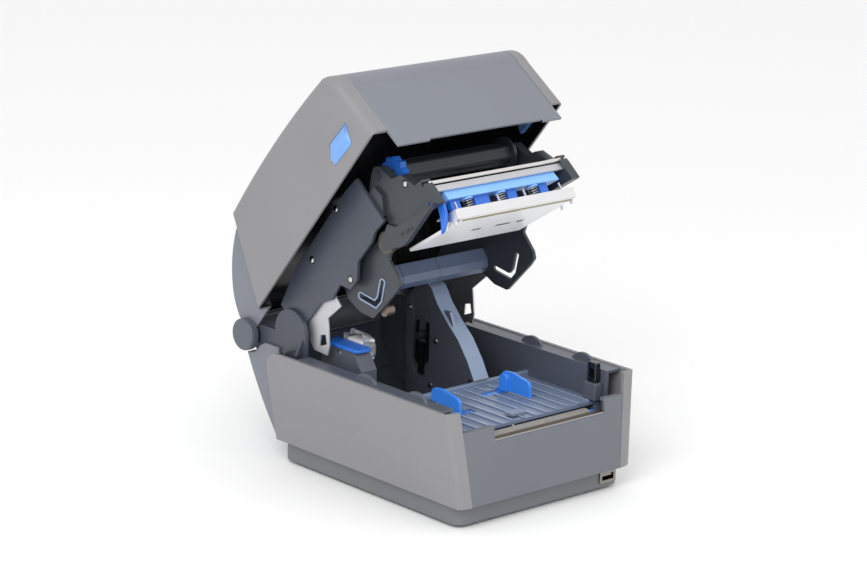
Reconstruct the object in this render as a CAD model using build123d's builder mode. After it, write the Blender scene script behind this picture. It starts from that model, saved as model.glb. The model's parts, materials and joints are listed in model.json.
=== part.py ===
from build123d import *
from math import cos, pi, radians, sin, sqrt
import os

# A desktop label printer with its cover open.
# X runs across the printer, Y from front to back, Z up from the table.
# The origin is on the table, in the middle of the underside.

os.makedirs("parts", exist_ok=True)

# Overall sizes
half_width = 105.5  # side skins, at the rim
flare = 9.3
half_bottom = half_width - flare  # side skins, at the bottom
shell_inset = 13.5
narrow_half = half_width - shell_inset  # rear shell and rear cover
plinth_half = half_bottom - 4.6
cover_half = narrow_half - 2  # dark centre cover
rim_height = 99
foot_height = 3
plinth_height = 16.4
skin_bottom = foot_height + plinth_height
front_edge = -110  # front corner of the skins, at the rim
rear_edge = 120.3  # rear corner of the skins, at the rim
front_lean = 8.5  # how far the front comes forward on its way down
rear_lean = 6.7
bow = 3.5  # how far the middle of the front stands ahead of its corners
wall = 2.5
skin_wall = 3.2
fit = 0.3  # clearance between pieces that don't touch
running = 0.05  # radial clearance of a running fit

# The cover's hinge and its open angle
hinge_y = 157.8
hinge_z = 102.6
open_angle = 50.8
hinge_pin_radius = 4
cap_radius = 14
cap_depth = 8
barrel_radius = 15

# The print mechanism's pivot in the ears
pivot_y = 98
pivot_z = 128
pivot_pin_radius = 2.8
ear_y = 105
ear_z = 114.7
ear_radius = 20.5

# Layers across the width, from the outside inwards
shell_wall = 2.2
bracket_outer = narrow_half - shell_wall - fit
bracket_wall = 3.5
bracket_inner = bracket_outer - bracket_wall
plate_outer = bracket_inner - 0.5
plate_wall = 3
plate_inner = plate_outer - plate_wall
arm_wall = 1.5
liner_outer = bracket_outer - 0.5
liner_wall = 2.5
liner_inner = liner_outer - liner_wall
block_outer = plate_inner - 3.5
block_inner = block_outer - 9
carrier_inner = plate_inner - 9
carrier_wall = 3

# Media path
bed_top = 71
bed_wall = 3
bed_front = -90
bed_rear = -4
rib_height = 1.5
rib_width = 1.4
rib_pitch = 12.6
platen_y = -100
platen_z = 62
platen_radius = 8.5
platen_half = 57
platen_x = 6
shaft_radius = 3
bay_floor = 34
bay_rear = 132
bay_step = 122
bay_step_height = 58

# The cover, drawn shut and then turned open about its hinge
open_turn = radians(open_angle)


def opened(y, z):
    """Where a point of the shut cover lies once the cover is open."""
    dy = y - hinge_y
    dz = z - hinge_z
    return (
        hinge_y + dy * cos(open_turn) + dz * sin(open_turn),
        hinge_z - dy * sin(open_turn) + dz * cos(open_turn),
    )


def shut(y, z):
    """Where a point of the open cover lies once the cover is shut."""
    dy = y - hinge_y
    dz = z - hinge_z
    return (
        hinge_y + dy * cos(open_turn) - dz * sin(open_turn),
        hinge_z + dy * sin(open_turn) + dz * cos(open_turn),
    )


base_side = Plane.YZ
cover_side = Plane(
    origin=(0, *opened(0, 0)),
    x_dir=(0, cos(open_turn), -sin(open_turn)),
    z_dir=(1, 0, 0),
)
sides = {"left": -1, "right": 1}


def layer(plane, side, inner, outer):
    """The side plane from which a layer between two widths is extruded along +X."""
    return plane.offset(inner if side > 0 else -outer)


def gear_outline(teeth, tip_radius, root_radius):
    """Draw a gear's toothed outline in the current sketch."""
    tooth_angle = 2 * pi / teeth
    points = []
    for tooth in range(teeth):
        start = tooth * tooth_angle
        for share, radius in ((0, root_radius), (0.3, root_radius), (0.42, tip_radius), (0.78, tip_radius)):
            angle = start + share * tooth_angle
            points.append((radius * cos(angle), radius * sin(angle)))
    Polygon(*points, align=None)


# Base pan and feet
pan_front = front_edge - 4
pan_rear = rear_edge - rear_lean - 3
pan_length = pan_rear - pan_front
pan_middle = (pan_front + pan_rear) / 2
pan_corner = 10
foot_radius = 9
foot_inset = 16
port_radius = 4.5
screw_post_radius = 4
board_length = 90
board_width = 120
board_y = 20
board_z = foot_height + wall + 6
screw_radius = 2.6
bay_post_x = 76
bay_post_y = 58
bay_post_pitch = 70
bed_post_x = 78
bed_post_y = -60

with BuildPart() as base_pan:
    with BuildSketch(Plane.XY.offset(foot_height)):
        with Locations((0, pan_middle)):
            RectangleRounded(2 * plinth_half, pan_length, pan_corner)
    extrude(amount=plinth_height)
    with BuildSketch(Plane.XY.offset(foot_height + wall)):
        with Locations((0, pan_middle)):
            RectangleRounded(2 * (plinth_half - wall), pan_length - 2 * wall, pan_corner - wall)
    extrude(amount=plinth_height, mode=Mode.SUBTRACT)
    with BuildSketch(Plane.XY.offset(foot_height + wall)):
        with Locations((0, board_y)):
            with GridLocations(board_width - 10, board_length - 10, 2, 2):
                Circle(screw_post_radius)
    extrude(amount=board_z - foot_height - wall)
    with BuildSketch(Plane.XY.offset(foot_height + wall)):
        with Locations((0, bay_post_y)):
            with GridLocations(2 * bay_post_x, bay_post_pitch, 2, 2):
                Circle(screw_post_radius)
    extrude(amount=bay_floor - 2 * wall - foot_height)
    with BuildSketch(Plane.XY.offset(foot_height + wall)):
        with Locations((-bed_post_x, bed_post_y), (bed_post_x, bed_post_y)):
            Circle(screw_post_radius)
    extrude(amount=bed_top - bed_wall - wall - foot_height)

usb_x = 76
usb_width = 13.2
usb_height = 5.8
usb_depth = 14
usb_z = 12
bezel = 2.6
jack_x = -60
data_x = -30
data_width = 12
data_height = 10.4
net_x = 5
net_width = 16
net_height = 11.6
port_z = foot_height + wall + 7
switch_x = 55
switch_width = 14
switch_height = 9

with BuildPart() as cut_ports:
    with BuildSketch(Plane.XZ.offset(-pan_front - wall - 1)):
        with Locations((usb_x, usb_z)):
            Rectangle(usb_width + 2, usb_height + 2)
    extrude(amount=wall + 2)
with BuildPart() as cut_rear_ports:
    with BuildSketch(Plane.XZ.offset(-pan_rear - 1)):
        with Locations((jack_x, port_z)):
            Circle(port_radius)
        with Locations((data_x, port_z)):
            Rectangle(data_width, data_height)
        with Locations((net_x, port_z)):
            Rectangle(net_width, net_height)
        with Locations((switch_x, port_z)):
            Rectangle(switch_width, switch_height)
    extrude(amount=wall + 2)
with BuildPart() as base_pan_cut:
    add(base_pan.part)
    add(cut_ports.part, mode=Mode.SUBTRACT)
    add(cut_rear_ports.part, mode=Mode.SUBTRACT)
base_pan_cut.part.label = "base_pan"
export_step(base_pan_cut.part, "parts/base_pan.step")

with BuildPart() as rubber_feet:
    with BuildSketch(Plane.XY):
        with Locations((0, pan_middle)):
            with GridLocations(2 * (plinth_half - foot_inset), pan_length - 2 * foot_inset, 2, 2):
                Circle(foot_radius)
    extrude(amount=foot_height)
    chamfer(rubber_feet.faces().sort_by(Axis.Z)[:4].edges(), 0.6)
rubber_feet.part.label = "rubber_feet"
export_step(rubber_feet.part, "parts/rubber_feet.step")

# Side skins: flared shells with a bevelled front corner and a rounded rear corner
corner_bevel = 4
corner_step = 1.8
return_inner_top = narrow_half
return_inner_bottom = half_bottom - 12.7
rear_corner = 16
front_top = front_edge - bow
front_bottom = front_edge - front_lean - bow


def skin_outline(inner, outer, front, rear, thickness):
    """A skin's plan at one height, from its return at the front to its return at the back."""
    rear_inner = narrow_half + fit if thickness == 0 else inner
    Polygon(
        (inner, front - bow + thickness),
        (outer - corner_bevel, front - corner_step + thickness),
        (outer - thickness * 0.6, front + thickness * 0.6),
        (outer - thickness, front + thickness * 1.4),
        (outer - thickness, rear - thickness),
        (rear_inner, rear - thickness),
        align=None,
    )


with BuildPart() as right_skin:
    with BuildSketch(Plane.XY.offset(skin_bottom)):
        skin_outline(return_inner_bottom, half_bottom, front_edge - front_lean, rear_edge - rear_lean, 0)
    with BuildSketch(Plane.XY.offset(rim_height)):
        skin_outline(return_inner_top, half_width, front_edge, rear_edge, 0)
    loft(ruled=True)
    rear_corner_point = ((half_width + half_bottom) / 2, rear_edge - rear_lean / 2, (skin_bottom + rim_height) / 2)
    fillet(right_skin.edges().filter_by(GeomType.LINE).sort_by_distance(rear_corner_point)[0], rear_corner)
with BuildPart() as skin_hollow:
    with BuildSketch(Plane.XY.offset(skin_bottom)):
        skin_outline(return_inner_bottom - 3, half_bottom, front_edge - front_lean, rear_edge - rear_lean, skin_wall)
    with BuildSketch(Plane.XY.offset(rim_height)):
        skin_outline(return_inner_top - 3, half_width, front_edge, rear_edge, skin_wall)
    loft(ruled=True)
    hollow_corner = (half_width - skin_wall - 4.5, rear_edge - skin_wall - rear_lean / 2, (skin_bottom + rim_height) / 2)
    fillet(
        skin_hollow.edges().filter_by(GeomType.LINE).sort_by_distance(hollow_corner)[0],
        rear_corner - skin_wall,
    )
with BuildPart() as right_side_skin:
    add(right_skin.part)
    add(skin_hollow.part, mode=Mode.SUBTRACT)
with BuildPart() as side_skins:
    add(right_side_skin.part)
    mirror(right_side_skin.part, about=Plane.YZ)
side_skins.part.label = "side_skins"
export_step(side_skins.part, "parts/side_skins.step")

# Front panel, with the mouth that the labels leave by
panel_top = 81.8
panel_wall = 3
panel_share = (panel_top - skin_bottom) / (rim_height - skin_bottom)
panel_top_half = return_inner_bottom + panel_share * (return_inner_top - return_inner_bottom)
panel_bottom_half = return_inner_bottom
panel_top_front = front_bottom + panel_share * front_lean
mouth_left = platen_x - platen_half - 5
mouth_right = platen_x + platen_half + 5
mouth_bottom = 69
deck_depth = 4.5

with BuildPart() as front_panel:
    with BuildSketch(Plane.XY.offset(skin_bottom)):
        with Locations((0, front_bottom)):
            Rectangle(2 * panel_bottom_half, panel_wall, align=(Align.CENTER, Align.MIN))
    with BuildSketch(Plane.XY.offset(panel_top)):
        with Locations((0, panel_top_front)):
            Rectangle(2 * panel_top_half, panel_wall, align=(Align.CENTER, Align.MIN))
    loft(ruled=True)
    with BuildSketch(Plane.XY.offset(panel_top - panel_wall)):
        with Locations((0, panel_top_front + 1)):
            Rectangle(2 * liner_inner, deck_depth, align=(Align.CENTER, Align.MIN))
    extrude(amount=panel_wall)
    with BuildSketch(Plane.XZ.offset(-panel_top_front - 20)):
        with Locations(((mouth_left + mouth_right) / 2, mouth_bottom)):
            Rectangle(mouth_right - mouth_left, panel_top, align=(Align.CENTER, Align.MIN))
    extrude(amount=30, mode=Mode.SUBTRACT)
front_panel.part.label = "front_panel"
export_step(front_panel.part, "parts/front_panel.step")

# Rear cover: a narrow shell that curls round the hinge as a barrel
cover_bottom_y = 118
bulge_y = 142.2
bulge_z = 54
curl_y = hinge_y + barrel_radius * sin(radians(10))
curl_z = hinge_z - barrel_radius * cos(radians(10))
curl_inner_y = hinge_y + (barrel_radius - wall) * sin(radians(10))
curl_inner_z = hinge_z - (barrel_radius - wall) * cos(radians(10))
lip_turn = radians(8)
lip_y = hinge_y - barrel_radius * sin(lip_turn)
lip_z = hinge_z + barrel_radius * cos(lip_turn)
lip_inner_y = hinge_y - (barrel_radius - wall) * sin(lip_turn)
lip_inner_z = hinge_z + (barrel_radius - wall) * cos(lip_turn)
barrel_half = plate_inner - 1.5
lug_clear = barrel_radius + 1.5
rear_top = rim_height
seat = pan_rear - wall

with BuildPart() as rear_cover:
    with BuildSketch(base_side.offset(-barrel_half)):
        with BuildLine():
            ThreePointArc((cover_bottom_y, skin_bottom), (bulge_y, bulge_z), (curl_y, curl_z))
            ThreePointArc((curl_y, curl_z), (hinge_y + barrel_radius, hinge_z), (lip_y, lip_z))
            Line((lip_y, lip_z), (lip_inner_y, lip_inner_z))
            ThreePointArc(
                (lip_inner_y, lip_inner_z),
                (hinge_y + barrel_radius - wall, hinge_z),
                (curl_inner_y, curl_inner_z),
            )
            ThreePointArc(
                (curl_inner_y, curl_inner_z),
                (bulge_y - wall, bulge_z + wall * 0.6),
                (cover_bottom_y - wall * 0.7, skin_bottom + wall),
            )
            Line((cover_bottom_y - wall * 0.7, skin_bottom + wall), (seat, skin_bottom + wall))
            Line((seat, skin_bottom + wall), (seat, skin_bottom))
            Line((seat, skin_bottom), (cover_bottom_y, skin_bottom))
        make_face()
    extrude(amount=2 * barrel_half)
    for side in (-1, 1):
        with BuildSketch(layer(base_side, side, barrel_half, narrow_half)):
            with BuildLine():
                Line((seat, skin_bottom), (cover_bottom_y, skin_bottom))
                ThreePointArc((cover_bottom_y, skin_bottom), (bulge_y, bulge_z), (curl_y, curl_z))
                Line((curl_y, curl_z), (hinge_y, hinge_z - barrel_radius))
                Line((hinge_y, hinge_z - barrel_radius), (hinge_y - 22, rear_top))
                Line((hinge_y - 22, rear_top), (rear_edge - wall, rear_top))
                Line((rear_edge - wall, rear_top), (seat, skin_bottom))
            make_face()
            with Locations((hinge_y, hinge_z)):
                Circle(lug_clear, mode=Mode.SUBTRACT)
        extrude(amount=narrow_half - barrel_half)
        with BuildSketch(layer(base_side, side, barrel_half, bracket_outer + fit)):
            with BuildLine():
                Line((seat, skin_bottom + wall), (cover_bottom_y - wall * 0.7, skin_bottom + wall))
                ThreePointArc(
                    (cover_bottom_y - wall * 0.7, skin_bottom + wall),
                    (bulge_y - wall, bulge_z + wall * 0.6),
                    (curl_inner_y, curl_inner_z),
                )
                Line((curl_inner_y, curl_inner_z), (hinge_y, rear_top + 20))
                Line((hinge_y, rear_top + 20), (seat - 10, rear_top + 20))
                Line((seat - 10, rear_top + 20), (seat - 10, skin_bottom + wall))
                Line((seat - 10, skin_bottom + wall), (seat, skin_bottom + wall))
            make_face()
        extrude(amount=bracket_outer + fit - barrel_half, mode=Mode.SUBTRACT)
rear_cover.part.label = "rear_cover"
export_step(rear_cover.part, "parts/rear_cover.step")

# Inner liners: an upright wall, a ledge under the rim and two round bumps
liner_front = -99
liner_rear = ear_y - ear_radius - 1.5
liner_bottom = 24
ledge_drop = 0.8
ledge_wall = 2.5
ledge_outer = half_width - skin_wall - 1
bump_radius = 16
bump_rise = 5.8
bump_ys = (0, -63)
bump_inner = half_width - 13
bump_wall = 3

with BuildPart() as liners:
    for side in (-1, 1):
        with BuildSketch(layer(base_side, side, liner_inner, liner_outer)):
            Polygon(
                (liner_front, liner_bottom),
                (liner_rear, liner_bottom),
                (liner_rear, rim_height - ledge_drop),
                (liner_front, rim_height - ledge_drop),
                align=None,
            )
        extrude(amount=liner_wall)
        ledge_start = layer(base_side, side, liner_outer, ledge_outer)
        with BuildSketch(ledge_start):
            Polygon(
                (liner_front, rim_height - ledge_drop - ledge_wall),
                (liner_rear, rim_height - ledge_drop - ledge_wall),
                (liner_rear, rim_height - ledge_drop),
                (liner_front, rim_height - ledge_drop),
                align=None,
            )
        extrude(amount=ledge_outer - liner_outer)
        with BuildSketch(layer(base_side, side, bump_inner, bump_inner + bump_wall)):
            for bump_y in bump_ys:
                with Locations((bump_y, rim_height + bump_rise - bump_radius)):
                    Circle(bump_radius)
            with Locations((0, 0)):
                Rectangle(3 * half_width, 2 * (rim_height - ledge_drop), mode=Mode.SUBTRACT)
        extrude(amount=bump_wall)
liners.part.label = "inner_liners"
export_step(liners.part, "parts/inner_liners.step")

# Hinge brackets with their round-topped ears
bracket_bottom = 52
lug_radius = 12
block_top = 113
gusset_height = 14
gusset_width = 7

with BuildPart() as brackets:
    for side in (-1, 1):
        with BuildSketch(layer(base_side, side, bracket_inner, bracket_outer)):
            Polygon(
                (ear_y - ear_radius, bracket_bottom),
                (hinge_y - 30, bracket_bottom),
                (hinge_y - 6, hinge_z - lug_radius + 1),
                (hinge_y, hinge_z),
                (hinge_y - 4, block_top),
                (ear_y, block_top),
                (ear_y - ear_radius, ear_z),
                align=None,
            )
            with Locations((ear_y, ear_z)):
                Circle(ear_radius)
            with Locations((hinge_y, hinge_z)):
                Circle(lug_radius)
            with Locations((hinge_y, hinge_z)):
                Circle(hinge_pin_radius, mode=Mode.SUBTRACT)
            with Locations((pivot_y, pivot_z)):
                Circle(pivot_pin_radius, mode=Mode.SUBTRACT)
        extrude(amount=bracket_wall)
        with BuildSketch(Plane.XZ.offset(-(ear_y - ear_radius + 6))):
            Polygon(
                (side * bracket_outer, rim_height),
                (side * (bracket_outer + gusset_width), rim_height),
                (side * bracket_outer, rim_height + gusset_height),
                align=None,
            )
        extrude(amount=wall)
brackets.part.label = "hinge_brackets"
export_step(brackets.part, "parts/hinge_brackets.step")

with BuildPart() as hinge_pins:
    for side in (-1, 1):
        with BuildSketch(layer(base_side, side, narrow_half + fit, narrow_half + fit + cap_depth)):
            with Locations((hinge_y, hinge_z)):
                Circle(cap_radius)
        extrude(amount=cap_depth)
        with BuildSketch(layer(base_side, side, bracket_inner, narrow_half + fit)):
            with Locations((hinge_y, hinge_z)):
                Circle(hinge_pin_radius)
        extrude(amount=narrow_half + fit - bracket_inner)
    cap_rims = hinge_pins.edges().filter_by(GeomType.CIRCLE).sort_by(Axis.X)
    fillet([cap_rims[0], cap_rims[-1]], 2.5)
hinge_pins.part.label = "hinge_pins"
export_step(hinge_pins.part, "parts/hinge_pins.step")

with BuildPart() as pivot_pins:
    for side in (-1, 1):
        with BuildSketch(layer(base_side, side, plate_inner - arm_wall, bracket_outer)):
            with Locations((pivot_y, pivot_z)):
                Circle(pivot_pin_radius)
        extrude(amount=bracket_outer - plate_inner + arm_wall)
pivot_pins.part.label = "mechanism_pivot_pins"
export_step(pivot_pins.part, "parts/mechanism_pivot_pins.step")

# Media bed: ribs from front to back, a rail across its rear edge and two tracks for the guides
bed_half = liner_inner
rail_height = 5
rail_depth = 5
track_half = 64.5
slot_near = 17
slot_far = 64
front_track_y = -47
rear_track_y = -21
rack_width = 9
rack_wall = 2
track_cover = 1
track_clear = 0.2
track_width = rack_width + 4 * track_clear
track_top = bed_top - track_cover
rack_top = track_top - track_clear
rack_bottom = rack_top - rack_wall
track_bottom = rack_bottom - track_clear
tray_wall = 1.5
tray_margin = 2
pinion_y = (front_track_y + rear_track_y) / 2
pinion_post = 2
guide_pinion_radius = (rear_track_y - front_track_y - rack_width) / 2 - fit
bed_ribs = int(bed_half / rib_pitch)

with BuildPart() as media_bed:
    with BuildSketch(Plane.XY.offset(bed_top - bed_wall)):
        with Locations((0, (bed_front + bed_rear) / 2)):
            Rectangle(2 * bed_half, bed_rear - bed_front)
    extrude(amount=bed_wall)
    with BuildSketch(Plane.XY.offset(bed_top)):
        for rib in range(-bed_ribs, bed_ribs + 1):
            with Locations((rib * rib_pitch, (bed_front + bed_rear) / 2)):
                Rectangle(rib_width, bed_rear - bed_front)
    extrude(amount=rib_height)
    with BuildSketch(Plane.XY.offset(bed_top - bed_wall)):
        with Locations((0, bed_rear)):
            Rectangle(2 * bed_half, rail_depth, align=(Align.CENTER, Align.MIN))
    extrude(amount=bed_wall + rail_height)
    fillet(media_bed.edges().filter_by(Axis.X).group_by(Axis.Z)[-1], 1.8)
    with BuildSketch(Plane.XY.offset(track_bottom - tray_wall)):
        with Locations((0, pinion_y)):
            Rectangle(
                2 * (track_half + tray_margin),
                rear_track_y - front_track_y + track_width + 2 * tray_margin,
            )
    extrude(amount=bed_top - bed_wall - track_bottom + tray_wall)
    with BuildSketch(Plane.XY.offset(track_bottom)):
        with Locations((0, front_track_y), (0, rear_track_y)):
            Rectangle(2 * track_half, track_width)
        with Locations((0, pinion_y)):
            Rectangle(2 * guide_pinion_radius + 1, rear_track_y - front_track_y)
            Circle(pinion_post, mode=Mode.SUBTRACT)
    extrude(amount=track_top - track_bottom, mode=Mode.SUBTRACT)
    for side, track_y in ((-1, front_track_y), (1, rear_track_y)):
        with BuildSketch(Plane.XY.offset(track_top)):
            with Locations((side * (slot_near + slot_far) / 2, track_y)):
                Rectangle(slot_far - slot_near, track_width)
        extrude(amount=track_cover + rib_height, mode=Mode.SUBTRACT)
    for side in (-1, 1):
        with BuildSketch(layer(base_side, side, bed_half - 4, bed_half)):
            with Locations((bed_front, bed_top - bed_wall)):
                Rectangle(bed_rear - bed_front, 14, align=(Align.MIN, Align.MAX))
        extrude(amount=4)
media_bed.part.label = "media_bed"
export_step(media_bed.part, "parts/media_bed.step")

# Platen, its cradle and its bearings
cradle_wall = 3
cradle_bottom = 46
cheek_top = platen_z + 3.5
bearing_radius = 5
platen_left = platen_x - platen_half
platen_right = platen_x + platen_half
cheek_gap = 2
tear_height = 4
tear_wall = 1.2
tear_y = panel_top_front + panel_wall

with BuildPart() as platen_cradle:
    with BuildSketch(Plane.XY.offset(cradle_bottom)):
        with Locations((0, platen_y)):
            Rectangle(2 * bed_half, 2 * (platen_radius + 1))
    extrude(amount=cradle_wall)
    for cheek_x in (platen_left - cheek_gap - cradle_wall, platen_right + cheek_gap):
        with BuildSketch(base_side.offset(cheek_x)):
            with Locations((platen_y, cradle_bottom)):
                Rectangle(2 * (platen_radius + 1), cheek_top - cradle_bottom, align=(Align.CENTER, Align.MIN))
            with Locations((platen_y, platen_z)):
                Circle(bearing_radius, mode=Mode.SUBTRACT)
        extrude(amount=cradle_wall)
platen_cradle.part.label = "platen_cradle"
export_step(platen_cradle.part, "parts/platen_cradle.step")

with BuildPart() as platen_bearings:
    for bearing_x in (platen_left - cheek_gap - cradle_wall, platen_right + cheek_gap):
        with BuildSketch(base_side.offset(bearing_x)):
            with Locations((platen_y, platen_z)):
                Circle(bearing_radius)
                Circle(shaft_radius + running, mode=Mode.SUBTRACT)
        extrude(amount=cradle_wall)
        with BuildSketch(base_side.offset(bearing_x + (cradle_wall if bearing_x > 0 else -1.5))):
            with Locations((platen_y, platen_z)):
                Circle(bearing_radius + 1)
                Circle(shaft_radius + running, mode=Mode.SUBTRACT)
        extrude(amount=1.5)
platen_bearings.part.label = "platen_bearings"
export_step(platen_bearings.part, "parts/platen_bearings.step")

with BuildPart() as platen_roller:
    with BuildSketch(base_side.offset(platen_left)):
        with Locations((platen_y, platen_z)):
            Circle(platen_radius)
            Circle(shaft_radius, mode=Mode.SUBTRACT)
    extrude(amount=2 * platen_half)
    chamfer(platen_roller.edges().filter_by(GeomType.CIRCLE).filter_by(lambda e: e.radius > shaft_radius + 1), 0.6)
platen_roller.part.label = "platen_roller"
export_step(platen_roller.part, "parts/platen_roller.step")

shaft_left = platen_left - 18
with BuildPart() as platen_shaft:
    with BuildSketch(base_side.offset(shaft_left)):
        with Locations((platen_y, platen_z)):
            Circle(shaft_radius)
    extrude(amount=platen_right + 9 - shaft_left)
    chamfer(platen_shaft.edges().filter_by(GeomType.CIRCLE), 0.5)
platen_shaft.part.label = "platen_shaft"
export_step(platen_shaft.part, "parts/platen_shaft.step")

with BuildPart() as tear_bar:
    with BuildSketch(base_side.offset(mouth_left + fit)):
        Polygon(
            (tear_y, mouth_bottom - 8),
            (tear_y + tear_wall, mouth_bottom - 8),
            (tear_y + tear_wall, mouth_bottom + 2),
            (tear_y, mouth_bottom + tear_height - 1),
            (tear_y - 3.4, mouth_bottom + 1.6),
            (tear_y - 3.4, mouth_bottom),
            (tear_y, mouth_bottom),
            align=None,
        )
    extrude(amount=mouth_right - mouth_left - 2 * fit)
tear_bar.part.label = "tear_bar"
export_step(tear_bar.part, "parts/tear_bar.step")

# Drive: motor pinion, idler and platen gear in one line, clear of each other by a hair
gear_x = platen_left - cheek_gap - cradle_wall - 7.4
gear_width = 5
gear_gap = 0.35
tooth_depth = 1.6
platen_gear_tip = 8.2
idler_tip = 11
pinion_tip = 6
idler_turn = radians(-16)
pinion_turn = radians(-40)
idler_y = platen_y + (platen_gear_tip + idler_tip + gear_gap) * cos(idler_turn)
idler_z = platen_z + (platen_gear_tip + idler_tip + gear_gap) * sin(idler_turn)
motor_y = idler_y + (pinion_tip + idler_tip + gear_gap) * cos(pinion_turn)
motor_z = idler_z + (pinion_tip + idler_tip + gear_gap) * sin(pinion_turn)
motor_size = 36
motor_length = 28
motor_shaft = 2.5
drive_plate_wall = 2
drive_plate_x = gear_x + gear_width + 1
idler_pin = 2.5

with BuildPart() as platen_gear:
    with BuildSketch(Plane(origin=(gear_x, platen_y, platen_z), x_dir=(0, 1, 0), z_dir=(1, 0, 0))):
        gear_outline(16, platen_gear_tip, platen_gear_tip - tooth_depth)
        Circle(shaft_radius, mode=Mode.SUBTRACT)
    extrude(amount=gear_width)
platen_gear.part.label = "platen_gear"
export_step(platen_gear.part, "parts/platen_gear.step")

with BuildPart() as idler_gear:
    with BuildSketch(Plane(origin=(gear_x, idler_y, idler_z), x_dir=(0, 1, 0), z_dir=(1, 0, 0))):
        gear_outline(22, idler_tip, idler_tip - tooth_depth)
        Circle(idler_pin + running, mode=Mode.SUBTRACT)
    extrude(amount=gear_width)
idler_gear.part.label = "idler_gear"
export_step(idler_gear.part, "parts/idler_gear.step")

with BuildPart() as drive_plate:
    with BuildSketch(base_side.offset(drive_plate_x)):
        Polygon(
            (platen_y + platen_radius + 2, cradle_bottom + cradle_wall + 1),
            (platen_y + platen_radius + 2, bed_top - bed_wall - 3),
            (motor_y + motor_size / 2, bed_top - bed_wall - 3),
            (motor_y + motor_size / 2, motor_z - motor_size / 2),
            (motor_y - motor_size / 2, motor_z - motor_size / 2),
            align=None,
        )
        with Locations((motor_y, motor_z)):
            Circle(motor_shaft + 3, mode=Mode.SUBTRACT)
    extrude(amount=drive_plate_wall)
    with BuildSketch(base_side.offset(gear_x - 1)):
        with Locations((idler_y, idler_z)):
            Circle(idler_pin)
    extrude(amount=drive_plate_x - gear_x + 1)
    with BuildSketch(Plane.XY.offset(foot_height + wall)):
        with Locations((drive_plate_x, motor_y + 4)):
            Rectangle(drive_plate_wall, motor_size - 12, align=(Align.MIN, Align.CENTER))
    extrude(amount=motor_z - motor_size / 2 - foot_height - wall)
drive_plate.part.label = "drive_plate"
export_step(drive_plate.part, "parts/drive_plate.step")

with BuildPart() as stepper_motor:
    with BuildSketch(base_side.offset(drive_plate_x + drive_plate_wall)):
        with Locations((motor_y, motor_z)):
            RectangleRounded(motor_size, motor_size, 4)
    extrude(amount=motor_length)
stepper_motor.part.label = "stepper_motor"
export_step(stepper_motor.part, "parts/stepper_motor.step")

with BuildPart() as motor_pinion:
    with BuildSketch(Plane(origin=(gear_x, motor_y, motor_z), x_dir=(0, 1, 0), z_dir=(1, 0, 0))):
        gear_outline(12, pinion_tip, pinion_tip - tooth_depth)
    extrude(amount=gear_width)
    with BuildSketch(base_side.offset(gear_x + gear_width)):
        with Locations((motor_y, motor_z)):
            Circle(motor_shaft)
    extrude(amount=drive_plate_x + drive_plate_wall - gear_x - gear_width)
motor_pinion.part.label = "motor_pinion"
export_step(motor_pinion.part, "parts/motor_pinion.step")

# Media guides: a fin above the ribs, on a rack in the track under the bed
guide_x = 38
fin_wall = 3
fin_bottom = bed_top + rib_height + fit
fin_top = 90
fin_front = -57
fin_rear = -20
fin_round = 5
fin_boss_width = 10
fin_boss_depth = 3
fin_boss_y = fin_rear - fin_boss_width / 2 - 1.5
fin_boss_top = fin_top - 2.5 - fin_boss_width / 2
rack_reach = 64

for name, side in sides.items():
    track_y = rear_track_y if side > 0 else front_track_y
    with BuildPart() as guide:
        with BuildSketch(layer(base_side, side, guide_x, guide_x + fin_wall)) as fin_face:
            Polygon(
                (fin_front, fin_bottom),
                (fin_front + 1.5, fin_top - 4),
                (fin_rear - 14, fin_top),
                (fin_rear - 2, fin_top - 1),
                (fin_rear, fin_bottom),
                align=None,
            )
            fillet(fin_face.vertices().sort_by(Axis.Y)[2:], fin_round)
        extrude(amount=fin_wall)
        with BuildSketch(Plane.XY.offset(rack_bottom)):
            with Locations((side * (guide_x + fin_wall), track_y)):
                Rectangle(rack_reach, rack_width, align=(Align.MAX if side > 0 else Align.MIN, Align.CENTER))
        extrude(amount=rack_wall)
        with BuildSketch(layer(base_side, side, guide_x, guide_x + fin_wall)):
            with Locations((track_y, rack_bottom)):
                Rectangle(rack_width, fin_bottom - rack_bottom + 1, align=(Align.CENTER, Align.MIN))
        extrude(amount=fin_wall)
        with BuildSketch(layer(base_side, side, guide_x - fin_boss_depth, guide_x)):
            with Locations((fin_boss_y, fin_bottom)):
                Rectangle(fin_boss_width, fin_boss_top - fin_bottom, align=(Align.CENTER, Align.MIN))
            with Locations((fin_boss_y, fin_boss_top)):
                Circle(fin_boss_width / 2)
        extrude(amount=fin_boss_depth)
    guide.part.label = f"{name}_media_guide"
    export_step(guide.part, f"parts/{name}_media_guide.step")

with BuildPart() as guide_pinion:
    with BuildSketch(Plane(origin=(0, pinion_y, rack_bottom))):
        gear_outline(16, guide_pinion_radius, guide_pinion_radius - 1.2)
        Circle(pinion_post + running, mode=Mode.SUBTRACT)
    extrude(amount=rack_wall)
guide_pinion.part.label = "guide_pinion"
export_step(guide_pinion.part, "parts/guide_pinion.step")

# Media bay behind the bed, with the rail that the roll holder slides on
bay_front = bed_rear + rail_depth + 0.5
slot_y = 60
slot_width = 12
rail_top = bay_floor + 6

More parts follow.
